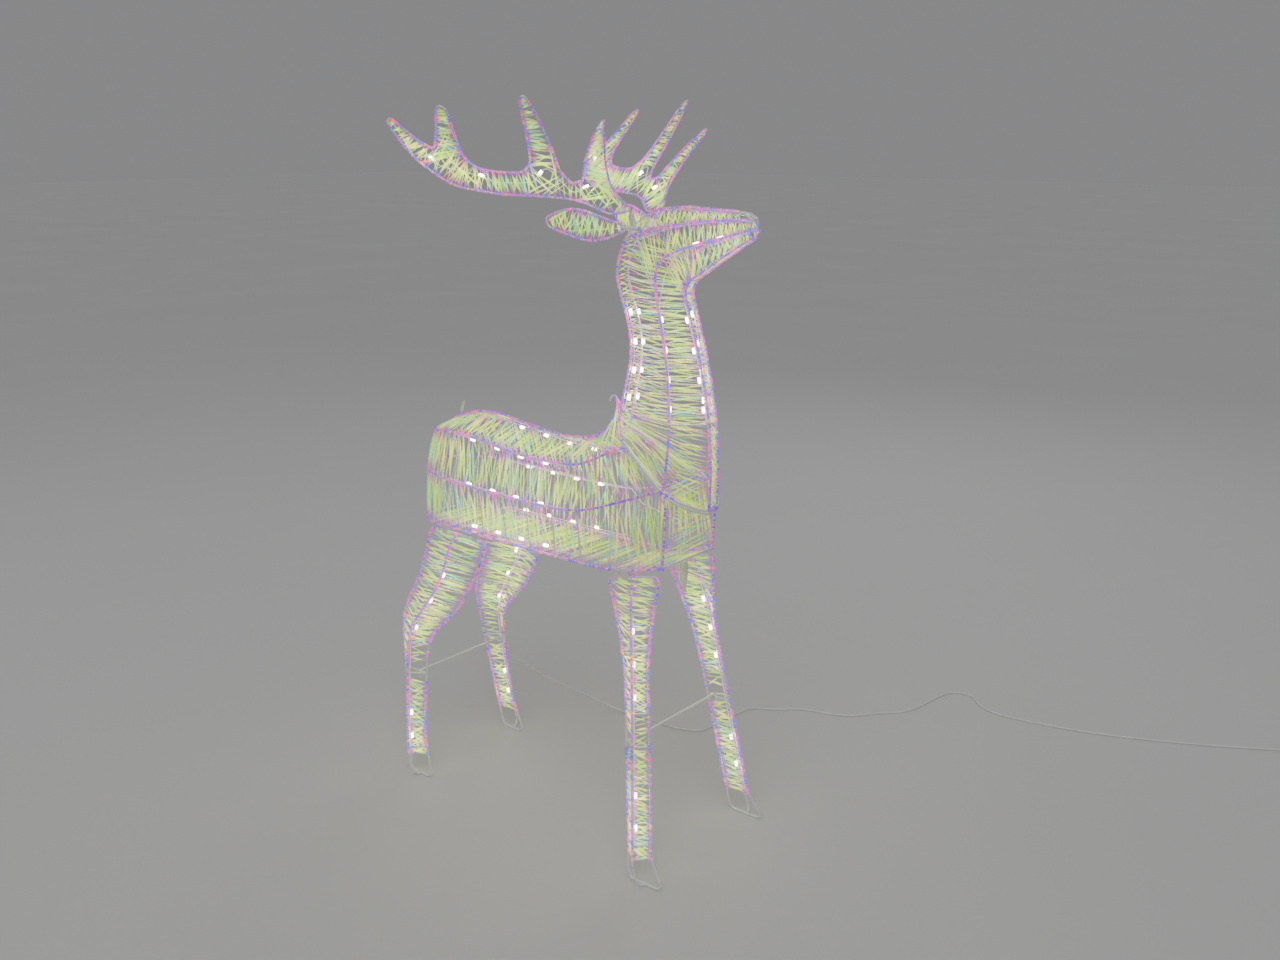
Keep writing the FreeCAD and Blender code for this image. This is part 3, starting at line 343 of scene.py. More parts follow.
@dataclass(frozen=True)
class PlasticFinish:
    """Moulded or drawn plastic, clear or solid.

    Args of the class are its name, colour, least alpha, roughness and the strength of painted light: a shine
    given to plastic that is no lamp, standing in for its bulbs' light.
    """

    name: str
    colour: tuple
    alpha: float = 1.0
    roughness: float = 0.25
    painted_glow_strength: float = 0.0
    grain: float = 700.0

    def build(self):
        """Makes the material."""
        tree = ShaderTree(self.name)
        cloud = tree.noise(60.0, 3.0)
        grain = tree.noise(self.grain, 4.0)
        shade = tuple(c * 0.86 for c in self.colour)
        colour = tree.mix(cloud.ramp(0.35, 0.68), rgba(self.colour), rgba(shade))
        tree.feed(
            Base_Color=colour,
            Roughness=cloud * 0.2 + self.roughness,
            Alpha=(cloud * 0.12 + self.alpha).clamped(),
            Coat_Weight=0.5,
            Coat_Roughness=0.1,
            # Painted light: a non-zero strength makes this plastic shine though it is no lamp.
            Emission_Color=colour,
            Emission_Strength=self.painted_glow_strength,
            Normal=tree.bump(grain, 0.15, 0.0003),
        )
        return tree.material


@dataclass(frozen=True)
class PinFinish:
    """Bare brass contact pin."""

    colour: tuple = (0.80, 0.66, 0.36)

    def build(self):
        """Makes the material."""
        tree = ShaderTree("contact_pin")
        scuff = tree.noise(900.0, 4.0)
        tree.feed(Base_Color=tree.mix(scuff * 0.5, rgba(self.colour), (0.55, 0.44, 0.22, 1.0)),
                  Metallic=1.0, Roughness=scuff * 0.3 + 0.12)
        return tree.material


@dataclass(frozen=True)
class FloorFinish:
    """Plain pale studio floor."""

    colour: tuple = (0.60, 0.60, 0.59)

    def build(self):
        """Makes the material."""
        tree = ShaderTree("studio_floor")
        wash = tree.noise(1.3, 4.0)
        tree.feed(Base_Color=tree.mix(wash * 0.5, rgba(self.colour), (0.52, 0.52, 0.52, 1.0)),
                  Roughness=wash * 0.2 + 0.55)
        return tree.material


class Finish(Enum):
    """The finishes that pieces choose from."""

    WIRE = WireFinish()
    FILM = FilmFinish()
    BULB = BulbFinish()
    PIN = PinFinish()
    FLOOR = FloorFinish()
    # The string wire's strength of 0.35 is painted light standing in for the shine of its bulbs.
    STRING = PlasticFinish("string_wire", (0.95, 0.94, 0.82), 0.80, 0.20, 0.35)
    CLIP = PlasticFinish("moulded_clip", (0.86, 0.86, 0.84), 0.80, 0.30)
    CLEAR = PlasticFinish("clear_plastic", (0.90, 0.91, 0.90), 0.62, 0.12)
    TIE = PlasticFinish("tie", (0.88, 0.88, 0.86), 0.75, 0.30)
    HOUSING = PlasticFinish("adapter_housing", (0.82, 0.82, 0.80), 1.0, 0.35, 0.0, 1500.0)


class Materials:
    """Every finish's material, made once."""

    def __init__(self):
        self.made = {finish: finish.value.build() for finish in Finish}

    def give(self, piece, finish):
        """Puts a finish on every part of a piece.

        Args:
            piece: the object.
            finish: one of Finish.
        """
        piece.data.materials.clear()
        piece.data.materials.append(self.made[finish])


def smooth_by_angle(mesh, angle):
    """Smooths a mesh, except across edges sharper than an angle.

    Args:
        mesh: the mesh.
        angle: in radians.
    """
    mesh.shade_smooth()
    mesh.set_sharp_from_angle(angle=angle)


# ---------------------------------------------------------------- frame parts


@dataclass
class FrameParts:
    """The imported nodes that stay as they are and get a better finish."""

    endings: dict = field(default_factory=lambda: {
        "_frame": Finish.WIRE, "_brace": Finish.WIRE, "antler_socket": Finish.WIRE,
        "ear_socket": Finish.WIRE, "tail_peg": Finish.CLIP, "_light_string": Finish.STRING,
        "_lights": Finish.BULB, "leg_clips": Finish.CLIP, "connector_socket": Finish.CLEAR,
        "connector_plug": Finish.CLEAR, "exit_sleeve": Finish.CLEAR, "adapter": Finish.HOUSING,
        "strain_relief": Finish.HOUSING, "adapter_pin": Finish.PIN,
    })

    def dress(self, materials):
        """Gives each node its finish.

        Args:
            materials: the made materials.
        """
        for name, node in NODES.items():
            for ending, finish in self.endings.items():
                if name.endswith(ending):
                    materials.give(node, finish)


# ---------------------------------------------------------------- film winding


@dataclass
class Strand:
    """One strand of film from wire to wire.

    Its ends lie inside the wires; the two hubs are the wires' middles, with their directions.
    """

    start: Vector
    end: Vector
    girth: float
    hubs: list


class FilmPart:
    """One closed strip of the frame's film, read back as its border at mid thickness."""

    THICK = 0.0006

    def __init__(self, verts, faces):
        self.points = []
        self.number = {}
        self._pair(verts)
        self.border = self._border(faces)
        self.touching = set()
        for face in faces:
            found = {self.number[v] for v in face}
            for a in found:
                for b in found:
                    self.touching.add((a, b))

    def _pair(self, verts):
        tree = KDTree(len(verts))
        for n, (_, co) in enumerate(verts):
            tree.insert(co, n)
        tree.balance()
        for n, (index, co) in enumerate(verts):
            if index in self.number:
                continue
            others = [m for _, m, gap in tree.find_range(co, self.THICK * 1.1)
                      if m != n and verts[m][0] not in self.number and gap > self.THICK * 0.5]
            mates = [n] + others[:1]
            for m in mates:
                self.number[verts[m][0]] = len(self.points)
            self.points.append(sum((verts[m][1] for m in mates), Vector()) / len(mates))

    def _border(self, faces):
        beside = {}
        for face in faces:
            ends = {self.number[v] for v in face}
            if len(ends) == 2:
                a, b = ends
                beside.setdefault(a, set()).add(b)
                beside.setdefault(b, set()).add(a)
        start = next(iter(beside))
        loop, last = [start], None
        while True:
            ahead = [n for n in beside[loop[-1]] if n != last and n not in loop[1:]]
            if not ahead:
                return loop
            last = loop[-1]
            if ahead[0] == start:
                return loop
            loop.append(ahead[0])

    def sides(self):
        """The two long sides, each a list of points, matched end to end.

        Returns:
            Two lists of points, or nothing where the border isn't a strip's.
        """
        count = len(self.border)
        for turn in range(count):
            loop = self.border[turn:] + self.border[:turn]
            pairs = [(loop[n], loop[count - 1 - n]) for n in range(count // 2)]
            if count % 2 == 0 and all(pair in self.touching for pair in pairs):
                return ([self.points[a] for a, _ in pairs], [self.points[b] for _, b in pairs])
        return None


def film_parts(node):
    """The closed strips that a film node is made of.

    Args:
        node: the node's name.

    Returns:
        A list of FilmPart.
    """
    mesh = bmesh.new()
    mesh.from_mesh(NODES[node].data)
    bmesh.ops.remove_doubles(mesh, verts=mesh.verts, dist=0.00002)
    mesh.verts.index_update()
    seen, parts = set(), []
    for vert in mesh.verts:
        if vert in seen:
            continue
        group, queue = [], [vert]
        seen.add(vert)
        while queue:
            here = queue.pop()
            group.append(here)
            for edge in here.link_edges:
                other = edge.other_vert(here)
                if other not in seen:
                    seen.add(other)
                    queue.append(other)
        faces = {face for v in group for face in v.link_faces}
        parts.append(FilmPart([(v.index, v.co.copy()) for v in group],
                              [[v.index for v in face.verts] for face in faces]))
    mesh.free()
    return parts


def plate_border(node):
    """The outer border of a flat plate of film, at mid thickness, and the plate's direction.

    Args:
        node: the node's name.

    Returns:
        A closed loop of points, and the unit normal.
    """
    mesh = bmesh.new()
    mesh.from_mesh(NODES[node].data)
    bmesh.ops.remove_doubles(mesh, verts=mesh.verts, dist=0.00002)
    mesh.normal_update()
    normal = max(mesh.faces, key=lambda face: face.calc_area()).normal.copy()
    beside = {}
    for edge in mesh.edges:
        if sum(face.normal.dot(normal) > 0.9 for face in edge.link_faces) == 1:
            a, b = edge.verts
            beside.setdefault(a, []).append(b)
            beside.setdefault(b, []).append(a)
    loops = []
    while beside:
        here = next(iter(beside))
        loop = []
        while here is not None:
            loop.append(here.co - normal * (FilmPart.THICK / 2))
            ahead = beside.pop(here)
            here = next((vert for vert in ahead if vert in beside), None)
        loops.append(loop)
    mesh.free()
    return max(loops, key=lambda loop: sum((b - a).length for a, b in zip(loop, loop[1:]))), normal


def along_line(points, share):
    """A place on a line of points, and its direction.

    Args:
        points: the line.
        share: how far along, from 0 to 1.

    Returns:
        The place and the unit direction.
    """
    lengths = [(b - a).length for a, b in zip(points, points[1:])]
    left = max(0.0, min(1.0, share)) * sum(lengths)
    for n, length in enumerate(lengths):
        if left <= length or n == len(lengths) - 1:
            run = points[n + 1] - points[n]
            return points[n] + run * min(1.0, left / max(length, 1e-9)), run.normalized()
        left -= length
    return points[-1], (points[-1] - points[-2]).normalized()


@dataclass(frozen=True)
class Layer:
    """One pass of the winding: strand spacing and slant in metres, and strand width."""

    pitch: float
    slant: float
    girth: float


@dataclass
class Winder:
    """Lays strands between the wires of one unit."""

    unit: str
    layers: tuple
    wire: float = 0.002
    bury: float = 0.0010
    seed: int = 0
    reach: float = 0.045
    lowest: float = 0.30

    def __post_init__(self):
        self.rng = random.Random(self.seed)
        graph = bpy.context.evaluated_depsgraph_get()
        self.wires = BVHTree.FromObject(NODES[f"{self.unit}_frame"], graph)
        self.braces = [BVHTree.FromObject(NODES[f"{end}_brace"], graph) for end in ("front", "rear")]

    def _anchored(self, a, b, directions, girth):
        """A strand from wire to wire, its ends run on into the wires."""
        run = (b - a).normalized()
        ends, hubs = [], []
        for point, outward, direction in ((a, -run, directions[0]), (b, run, directions[1])):
            place, _, _, gap = self.wires.find_nearest(point)
            if place is None or gap > 0.008:
                ends.append(point)
                continue
            toward = (place - point).normalized()
            hub = point + toward * (gap + self.wire)
            ends.append(hub - toward * (self.wire - self.bury))
            hubs.append((hub, direction))
        return Strand(ends[0], ends[1], girth, hubs)

    def _meets_brace(self, strand):
        """Whether a strand lies where a brace is, or goes as it is lifted out."""
        for n in range(13):
            place = strand.start + (strand.end - strand.start) * (n / 12)
            for lift in (0.0, 0.005, 0.010, 0.015):
                for brace in self.braces:
                    near = brace.find_nearest(place - Vector((0.0, 0.0, lift)), 0.0035)
                    if near[0] is not None:
                        return True
        return False

    def _carried(self, side, reach):
        """A side run on along its wire, past its last point."""
        line = list(side)
        way = (line[-1] - line[-2]).normalized()
        for _ in range(round(reach / 0.005)):
            ahead = line[-1] + way * 0.005
            place, _, _, gap = self.wires.find_nearest(ahead)
            if place is None or gap > 0.007:
                break
            beside = place + (ahead - place).normalized() * 0.0008
            way = (way * 0.6 + (beside - line[-1]).normalized() * 0.4).normalized()
            line.append(beside)
        return line

    def _run_on(self, strips):
        """Strips run on over the open stretches at the ends of the unit's film."""
        tips = [(n, end, (a[end] + b[end]) / 2) for n, (a, b) in enumerate(strips) for end in (0, -1)]
        for n, end, middle in tips:
            shut = any((other - middle).length < 0.016 for m, _, other in tips if m != n)
            if shut or middle.z < self.lowest or not self.reach:
                continue
            a, b = strips[n]
            if end == 0:
                a, b = a[::-1], b[::-1]
            longer = [self._carried(side, self.reach) for side in (a, b)]
            size = min(len(longer[0]) - len(a), len(longer[1]) - len(b))
            if size > 0:
                pieces = (longer[0][len(a) - 1:len(a) + size], longer[1][len(b) - 1:len(b) + size])
                yield pieces

    def strips(self):
        """Strands over every strip of the unit's film.

        Returns:
            A list of Strand.
        """
        found = []
        strips = []
        for part in film_parts(f"{self.unit}_film"):
            sides = part.sides()
            if sides:
                strips.append(sides)
            else:
                log.info("%s: a strip was passed over", self.unit)
        for sides in strips + list(self._run_on(strips)):
            length = sum((b - a).length for side in sides for a, b in zip(side, side[1:])) / 2
            for number, layer in enumerate(self.layers):
                count = max(2, round(length / layer.pitch))
                lean = layer.slant / length * (-1 if number % 2 else 1)
                for n in range(count):
                    share = (n + 0.5 + self.rng.uniform(-0.35, 0.35)) / count
                    tilt = lean * self.rng.uniform(0.2, 1.3)
                    a, first = along_line(sides[0], share - tilt / 2)
                    b, second = along_line(sides[1], share + tilt / 2)
                    girth = layer.girth * self.rng.uniform(0.55, 1.35)
                    found.append(self._anchored(a, b, (first, second), girth))
        return [strand for strand in found if not self._meets_brace(strand)]

    def plate(self, longest):
        """Strands across a flat plate of film, from edge to opposite edge.

        Args:
            longest: no strand is longer than this, in metres.

        Returns:
            A list of Strand.
        """
        found = []
        loop, normal = plate_border(f"{self.unit}_film")
        around = sum((b - a).length for a, b in zip(loop, loop[1:] + loop[:1]))
        if sum((a.cross(b) for a, b in zip(loop, loop[1:] + loop[:1])), Vector()).dot(normal) < 0:
            loop.reverse()
        closed = loop + loop[:1]
        for layer in self.layers:
            count = round(around / layer.pitch / 2)
            for n in range(count):
                start, along = along_line(closed, (n + self.rng.uniform(0.0, 0.8)) / count)
                turn = self.rng.uniform(-0.5, 0.5) * (1 if layer.slant else 0.4)
                inward = normal.cross(along)
                ray = (inward * math.cos(turn) + along * math.sin(turn)).normalized()
                hit = self._across(closed, start, ray, normal)
                if hit and 0.004 < abs(hit[0]) < longest:
                    found.append(self._anchored(start, start + hit[2], (along, hit[1]),
                                                layer.girth * self.rng.uniform(0.6, 1.3)))
        return found

    @staticmethod
    def _across(closed, start, ray, normal):
        """How far a ray in the plate's plane goes to the border, and the border's direction there."""
        best = None
        side = normal.cross(ray)
        for a, b in zip(closed, closed[1:]):
            low, high = (a - start).dot(side), (b - start).dot(side)
            if low * high > 0 or low == high:
                continue
            share = low / (low - high)
            reach = (a + (b - a) * share - start).dot(ray)
            if reach > 0.0015 and (best is None or reach < best[0]):
                best = (reach, (b - a).normalized(), ray * reach)
        return best


class GeometryTree(Tree):
    """A geometry node tree with named inputs that ends in realized instances."""

    def __init__(self, name):
        super().__init__(bpy.data.node_groups.new(name, "GeometryNodeTree"))
        self.tree.interface.new_socket(name="Geometry", in_out="INPUT", socket_type="NodeSocketGeometry")
        self.tree.interface.new_socket(name="Geometry", in_out="OUTPUT", socket_type="NodeSocketGeometry")
        self.inputs = {}
        self.group_in = None

    def open(self, **sockets):
        """Adds the named inputs and the group's input node.

        Args:
            sockets: input name to its socket type and default.
        """
        for name, (kind, default) in sockets.items():
            made = self.tree.interface.new_socket(name=name, in_out="INPUT", socket_type=kind)
            if default is not None:
                made.default_value = default
            self.inputs[name] = made.identifier
        self.group_in = self.tree.nodes.new("NodeGroupInput")

    def given(self, name):
        """One of the group's inputs."""
        return Sock(self.tree, self.group_in.outputs[name])

    def named(self, name, kind="FLOAT"):
        """A named attribute's field."""
        return self.add("GeometryNodeInputNamedAttribute", {"Name": name}, data_type=kind)

    def store(self, geometry, name, value, domain="POINT"):
        """Stores a number on the geometry under a name."""
        return self.add("GeometryNodeStoreNamedAttribute",
                        {"Geometry": geometry, "Name": name, "Value": value},
                        data_type="FLOAT", domain=domain)

    def close(self, instances, bulbs, reach, material):
        """Realizes the instances, stores how near each point is to a bulb, as the strength of the bulb light
        painted on the film, and sets the material.

        Args:
            instances: the instances.
            bulbs: the object whose points are the bulbs.
            reach: the distance at which the light has halved.
            material: the material.
        """
        tinted = self.store(instances, "tint",
                            self.add("FunctionNodeRandomValue", {"Seed": self.given("Seed")}, output=1,
                                     data_type="FLOAT"), "INSTANCE")
        real = self.add("GeometryNodeRealizeInstances", {"Geometry": tinted})
        target = self.add("GeometryNodeObjectInfo", {"Object": bulbs}, output="Geometry")
        # Painted light: nearness to the nearest bulb becomes the stored strength of the light painted on the
        # film.
        gap = self.add("GeometryNodeProximity", {0: target}, output="Distance", target_element="POINTS")
        bright = (((gap / reach) ** 2.0) + 1.0)
        lit = self.store(real, "glow", bright ** -1.0)
        done = self.add("GeometryNodeSetMaterial", {"Geometry": lit, "Material": material})
        out = self.tree.nodes.new("NodeGroupOutput")
        self.tree.links.new(done.socket, out.inputs[0])


class StrandTree(GeometryTree):
    """Film strands: lens-shaped, folded and twisted strips between pairs of places."""

    TWISTS = (0.5, 1.5, -2.4, 3.4)
    CELLS = 9

    def __init__(self):
        super().__init__("film_strands")
        self.open(Seed=("NodeSocketInt", 1), Waist=("NodeSocketFloat", 0.28), Fold=("NodeSocketFloat", 0.22),
                  Reach=("NodeSocketFloat", 0.05), Bulbs=("NodeSocketObject", None),
                  Material=("NodeSocketMaterial", None))
        shapes = self.tree.nodes.new("GeometryNodeJoinGeometry")
        for twist in self.TWISTS:
            self.tree.links.new(self._shape(twist).socket, shapes.inputs[0])
        span = self.named("span", "FLOAT_VECTOR")
        girth = self.named("girth")
        length = self.add("ShaderNodeVectorMath", {0: span}, output="Value", operation="LENGTH")
        aim = self.add("FunctionNodeAlignRotationToVector", {"Vector": span}, axis="X")
        spin = self.add("FunctionNodeAxisAngleToRotation", {"Axis": (1.0, 0.0, 0.0), "Angle": self.named("spin")})
        turn = self.add("FunctionNodeRotateRotation", {0: aim, 1: spin}, rotation_space="LOCAL")
        pick = self.add("FunctionNodeRandomValue", {4: 0, 5: len(self.TWISTS) - 1, "Seed": self.given("Seed")},
                        output=2, data_type="INT")
        instances = self.add("GeometryNodeInstanceOnPoints", {
            "Points": self.given("Geometry"), "Instance": Sock(self.tree, shapes.outputs[0]),
            "Pick Instance": True, "Instance Index": pick, "Rotation": turn,
            "Scale": self.add("ShaderNodeCombineXYZ", {"X": length, "Y": girth, "Z": girth}),
        })
        self.close(instances, self.given("Bulbs"), self.given("Reach"), self.given("Material"))

    def _shape(self, twist):
        grid = self.add("GeometryNodeMeshGrid", {"Size X": 1.0, "Size Y": 1.0, "Vertices X": self.CELLS,
                                                 "Vertices Y": 3})
        place = self.add("GeometryNodeInputPosition")
        split = self.tree.nodes.new("ShaderNodeSeparateXYZ")
        self.tree.links.new(place.socket, split.inputs[0])
        x, y = Sock(self.tree, split.outputs[0]), Sock(self.tree, split.outputs[1])
        u = x + 0.5
        waist = self.given("Waist")
        bell = (u * math.pi).sin().math("MAXIMUM", 0.0) ** 0.8
        wide = bell * (waist * -1.0 + 1.0) + waist
        across = y * wide
        lift = (y.math("ABSOLUTE") * -2.0 + 1.0) * self.given("Fold") * wide
        angle = x * twist
        moved = self.add("ShaderNodeCombineXYZ", {
            "X": u,
            "Y": across * angle.cos() - lift * angle.sin(),
            "Z": across * angle.sin() + lift * angle.cos(),
        })
        shaped = self.add("GeometryNodeSetPosition", {"Geometry": grid, "Position": moved})
        kept = self.store(shaped, "along", self.named("u_share") if False else self._share())
        return self.add("GeometryNodeGeometryToInstance", {0: kept})

    def _share(self):
        place = self.add("GeometryNodeInputPosition")
        split = self.tree.nodes.new("ShaderNodeSeparateXYZ")
        self.tree.links.new(place.socket, split.inputs[0])
        return Sock(self.tree, split.outputs[0])


class WrapTree(GeometryTree):
    """Short turns of film round a wire, where a strand passes over it."""

    def __init__(self):
        super().__init__("film_wraps")
        self.open(Seed=("NodeSocketInt", 1), Reach=("NodeSocketFloat", 0.05),
                  Bulbs=("NodeSocketObject", None), Material=("NodeSocketMaterial", None))
        tube = self.add("GeometryNodeMeshCylinder", {"Vertices": 8, "Radius": 1.0, "Depth": 1.0},
                        fill_type="NONE")
        kept = self.store(tube, "along", self.add("ShaderNodeValue"))
        aim = self.add("FunctionNodeAlignRotationToVector", {"Vector": self.named("span", "FLOAT_VECTOR")},
                       axis="Z")
        round_wire = self.named("spin")
        instances = self.add("GeometryNodeInstanceOnPoints", {
            "Points": self.given("Geometry"), "Instance": kept, "Rotation": aim,
            "Scale": self.add("ShaderNodeCombineXYZ", {"X": round_wire, "Y": round_wire,
                                                       "Z": self.named("girth")}),
        })
        self.close(instances, self.given("Bulbs"), self.given("Reach"), self.given("Material"))


def point_cloud(name, places, spans, spins, girths):
    """A mesh of loose points that carry a span, a spin and a girth.

    Args:
        name: the object's name.
        places: where the points are.
        spans: each point's vector.
        spins: each point's first number.
        girths: each point's second number.

    Returns:
        The object.
    """
    mesh = bpy.data.meshes.new(name)
    mesh.from_pydata(places, [], [])
    mesh.attributes.new("span", "FLOAT_VECTOR", "POINT").data.foreach_set(
        "vector", [c for span in spans for c in span])
    mesh.attributes.new("spin", "FLOAT", "POINT").data.foreach_set("value", spins)
    mesh.attributes.new("girth", "FLOAT", "POINT").data.foreach_set("value", girths)
    piece = bpy.data.objects.new(name, mesh)
    bpy.context.scene.collection.objects.link(piece)
    return piece


def grown(piece, tree, **values):
    """Runs a geometry tree on a piece and keeps its result as the piece's plain mesh.

    Args:
        piece: the object.
        tree: the GeometryTree.
        values: input name to its value.

    Returns:
        The object.
    """
    modifier = piece.modifiers.new("grow", "NODES")
    modifier.node_group = tree.tree
    for name, value in values.items():
        modifier[tree.inputs[name]] = value
    piece.update_tag()
    graph = bpy.context.evaluated_depsgraph_get()
    mesh = bpy.data.meshes.new_from_object(piece.evaluated_get(graph))
    piece.modifiers.clear()
    piece.data = mesh
    return piece


@dataclass
class Bulbs:
    """Where the bulbs of all units are, as a helper from which the bulb light painted on the film is measured,
    and which is then removed.
    """

    def __post_init__(self):
        places = []
        for name, node in NODES.items():
            if name.endswith("_lights"):
                places += self._centres(node)
        self.places = places
        mesh = bpy.data.meshes.new("bulb_places")
        mesh.from_pydata(places, [], [])
        self.helper = bpy.data.objects.new("bulb_places", mesh)
        bpy.context.scene.collection.objects.link(self.helper)

    @staticmethod
    def _centres(node):
        mesh = bmesh.new()
        mesh.from_mesh(node.data)
        bmesh.ops.remove_doubles(mesh, verts=mesh.verts, dist=0.00002)
        seen, centres = set(), []
        for vert in mesh.verts:
            if vert in seen:
                continue
            seen.add(vert)
            group, queue = [], [vert]
            while queue:
                here = queue.pop()
                group.append(here.co)
                for edge in here.link_edges:
                    other = edge.other_vert(here)
                    if other not in seen:
                        seen.add(other)
                        queue.append(other)
            centres.append(sum(group, Vector()) / len(group))
        mesh.free()
        return centres

    def remove(self):
        """Takes the helper out of the scene."""
        bpy.data.objects.remove(self.helper)


@dataclass
class FilmWinding:
    """The wound film of every unit, made as plain meshes that replace the frame's strips."""

    materials: Materials
    bulbs: Bulbs
    body_layers: tuple = (Layer(0.0092, 0.014, 0.0040), Layer(0.0190, 0.026, 0.0034))
    leg_layers: tuple = (Layer(0.0086, 0.012, 0.0036), Layer(0.0190, 0.018, 0.0030))
    head_layers: tuple = (Layer(0.0074, 0.008, 0.0030), Layer(0.0150, 0.012, 0.0026))
    plate_layers: tuple = (Layer(0.0050, 0.0, 0.0036), Layer(0.0055, 1.0, 0.0034))

    def build(self):
        """Makes both pieces of every unit's winding."""
        self.strand_tree = StrandTree()
        self.wrap_tree = WrapTree()
        units = [("torso", "torso", self.body_layers, 0.0020), ("neck", "neck", self.head_layers, 0.0020)]
        units += [(leg, leg, self.leg_layers, 0.0020) for leg in LEGS]
        for side in SIDES:
            units += [(f"{side}_{kind}", f"{side}_{kind}", self.plate_layers, 0.0015)
                      for kind in ("antler", "ear")]
        for seed, (unit, body, layers, wire) in enumerate(units, start=3):
            winder = Winder(unit, layers, wire, seed=seed)
            flat = layers is self.plate_layers
            strands = winder.plate(0.110) if flat else winder.strips()
            self._make(unit, body, strands, wire, seed)
            log.info("%s: %d strands", unit, len(strands))

    def _make(self, unit, body, strands, wire, seed):
        rng = random.Random(seed + 100)
        shared = {"Seed": seed, "Bulbs": self.bulbs.helper,
                  "Material": self.materials.made[Finish.FILM], "Reach": 0.055}
        piece = point_cloud(f"{unit}_winding", [s.start for s in strands],
                            [s.end - s.start for s in strands],
                            [rng.uniform(0, 2 * math.pi) for _ in strands], [s.girth for s in strands])
        grown(piece, self.strand_tree, Waist=0.26, Fold=0.22, **shared)
        hubs = [(hub, way, s.girth) for s in strands for hub, way in s.hubs]
        wraps = point_cloud(f"{unit}_wraps", [h[0] for h in hubs], [h[1] for h in hubs],
                            [wire * rng.uniform(1.10, 1.28) for _ in hubs],
                            [h[2] * rng.uniform(0.5, 1.3) for h in hubs])
        grown(wraps, self.wrap_tree, **shared)
        wraps.data.shade_smooth()
        for made in (piece, wraps):
            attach(made, body)
        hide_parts(f"{unit}_film")


# ---------------------------------------------------------------- lead cord


@dataclass
class StrainRelief:
    """The ridged, tapered sleeve where the cord enters the adapter."""

    materials: Materials
    ridges: int = 5
    facets: int = 28
    thin: float = 0.0027
    groove: float = 0.0006

    def build(self):
        """Makes the sleeve.

        Returns:
            The piece.
        """
        low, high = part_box("strain_relief")
        x, z, wide = (low[0] + high[0]) / 2, (low[2] + high[2]) / 2, (high[0] - low[0]) / 2
        mesh = bmesh.new()
        rings = []
        steps = self.ridges * 4
        for n in range(steps + 1):
            share = n / steps
            radius = wide + (self.thin - wide) * share - (self.groove if n % 4 in (2, 3) else 0.0)
            y = high[1] + (low[1] - high[1]) * share
            turns = [2 * math.pi * k / self.facets for k in range(self.facets)]
            rings.append([mesh.verts.new((x + radius * math.cos(t), y, z + radius * math.sin(t)))
                          for t in turns])
        for one, other in zip(rings, rings[1:]):
            for k in range(self.facets):
                m = (k + 1) % self.facets
                mesh.faces.new((one[k], one[m], other[m], other[k]))
        mesh.faces.new(rings[0])
        mesh.faces.new(rings[-1][::-1])
        bmesh.ops.recalc_face_normals(mesh, faces=mesh.faces)
        data = bpy.data.meshes.new("strain_sleeve")
        mesh.to_mesh(data)
        mesh.free()
        smooth_by_angle(data, math.radians(40))
        piece = bpy.data.objects.new("strain_sleeve", data)
        bpy.context.scene.collection.objects.link(piece)
        self.materials.give(piece, Finish.HOUSING)
        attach(piece, "left_hind_leg")
        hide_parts("strain_relief")
        return piece


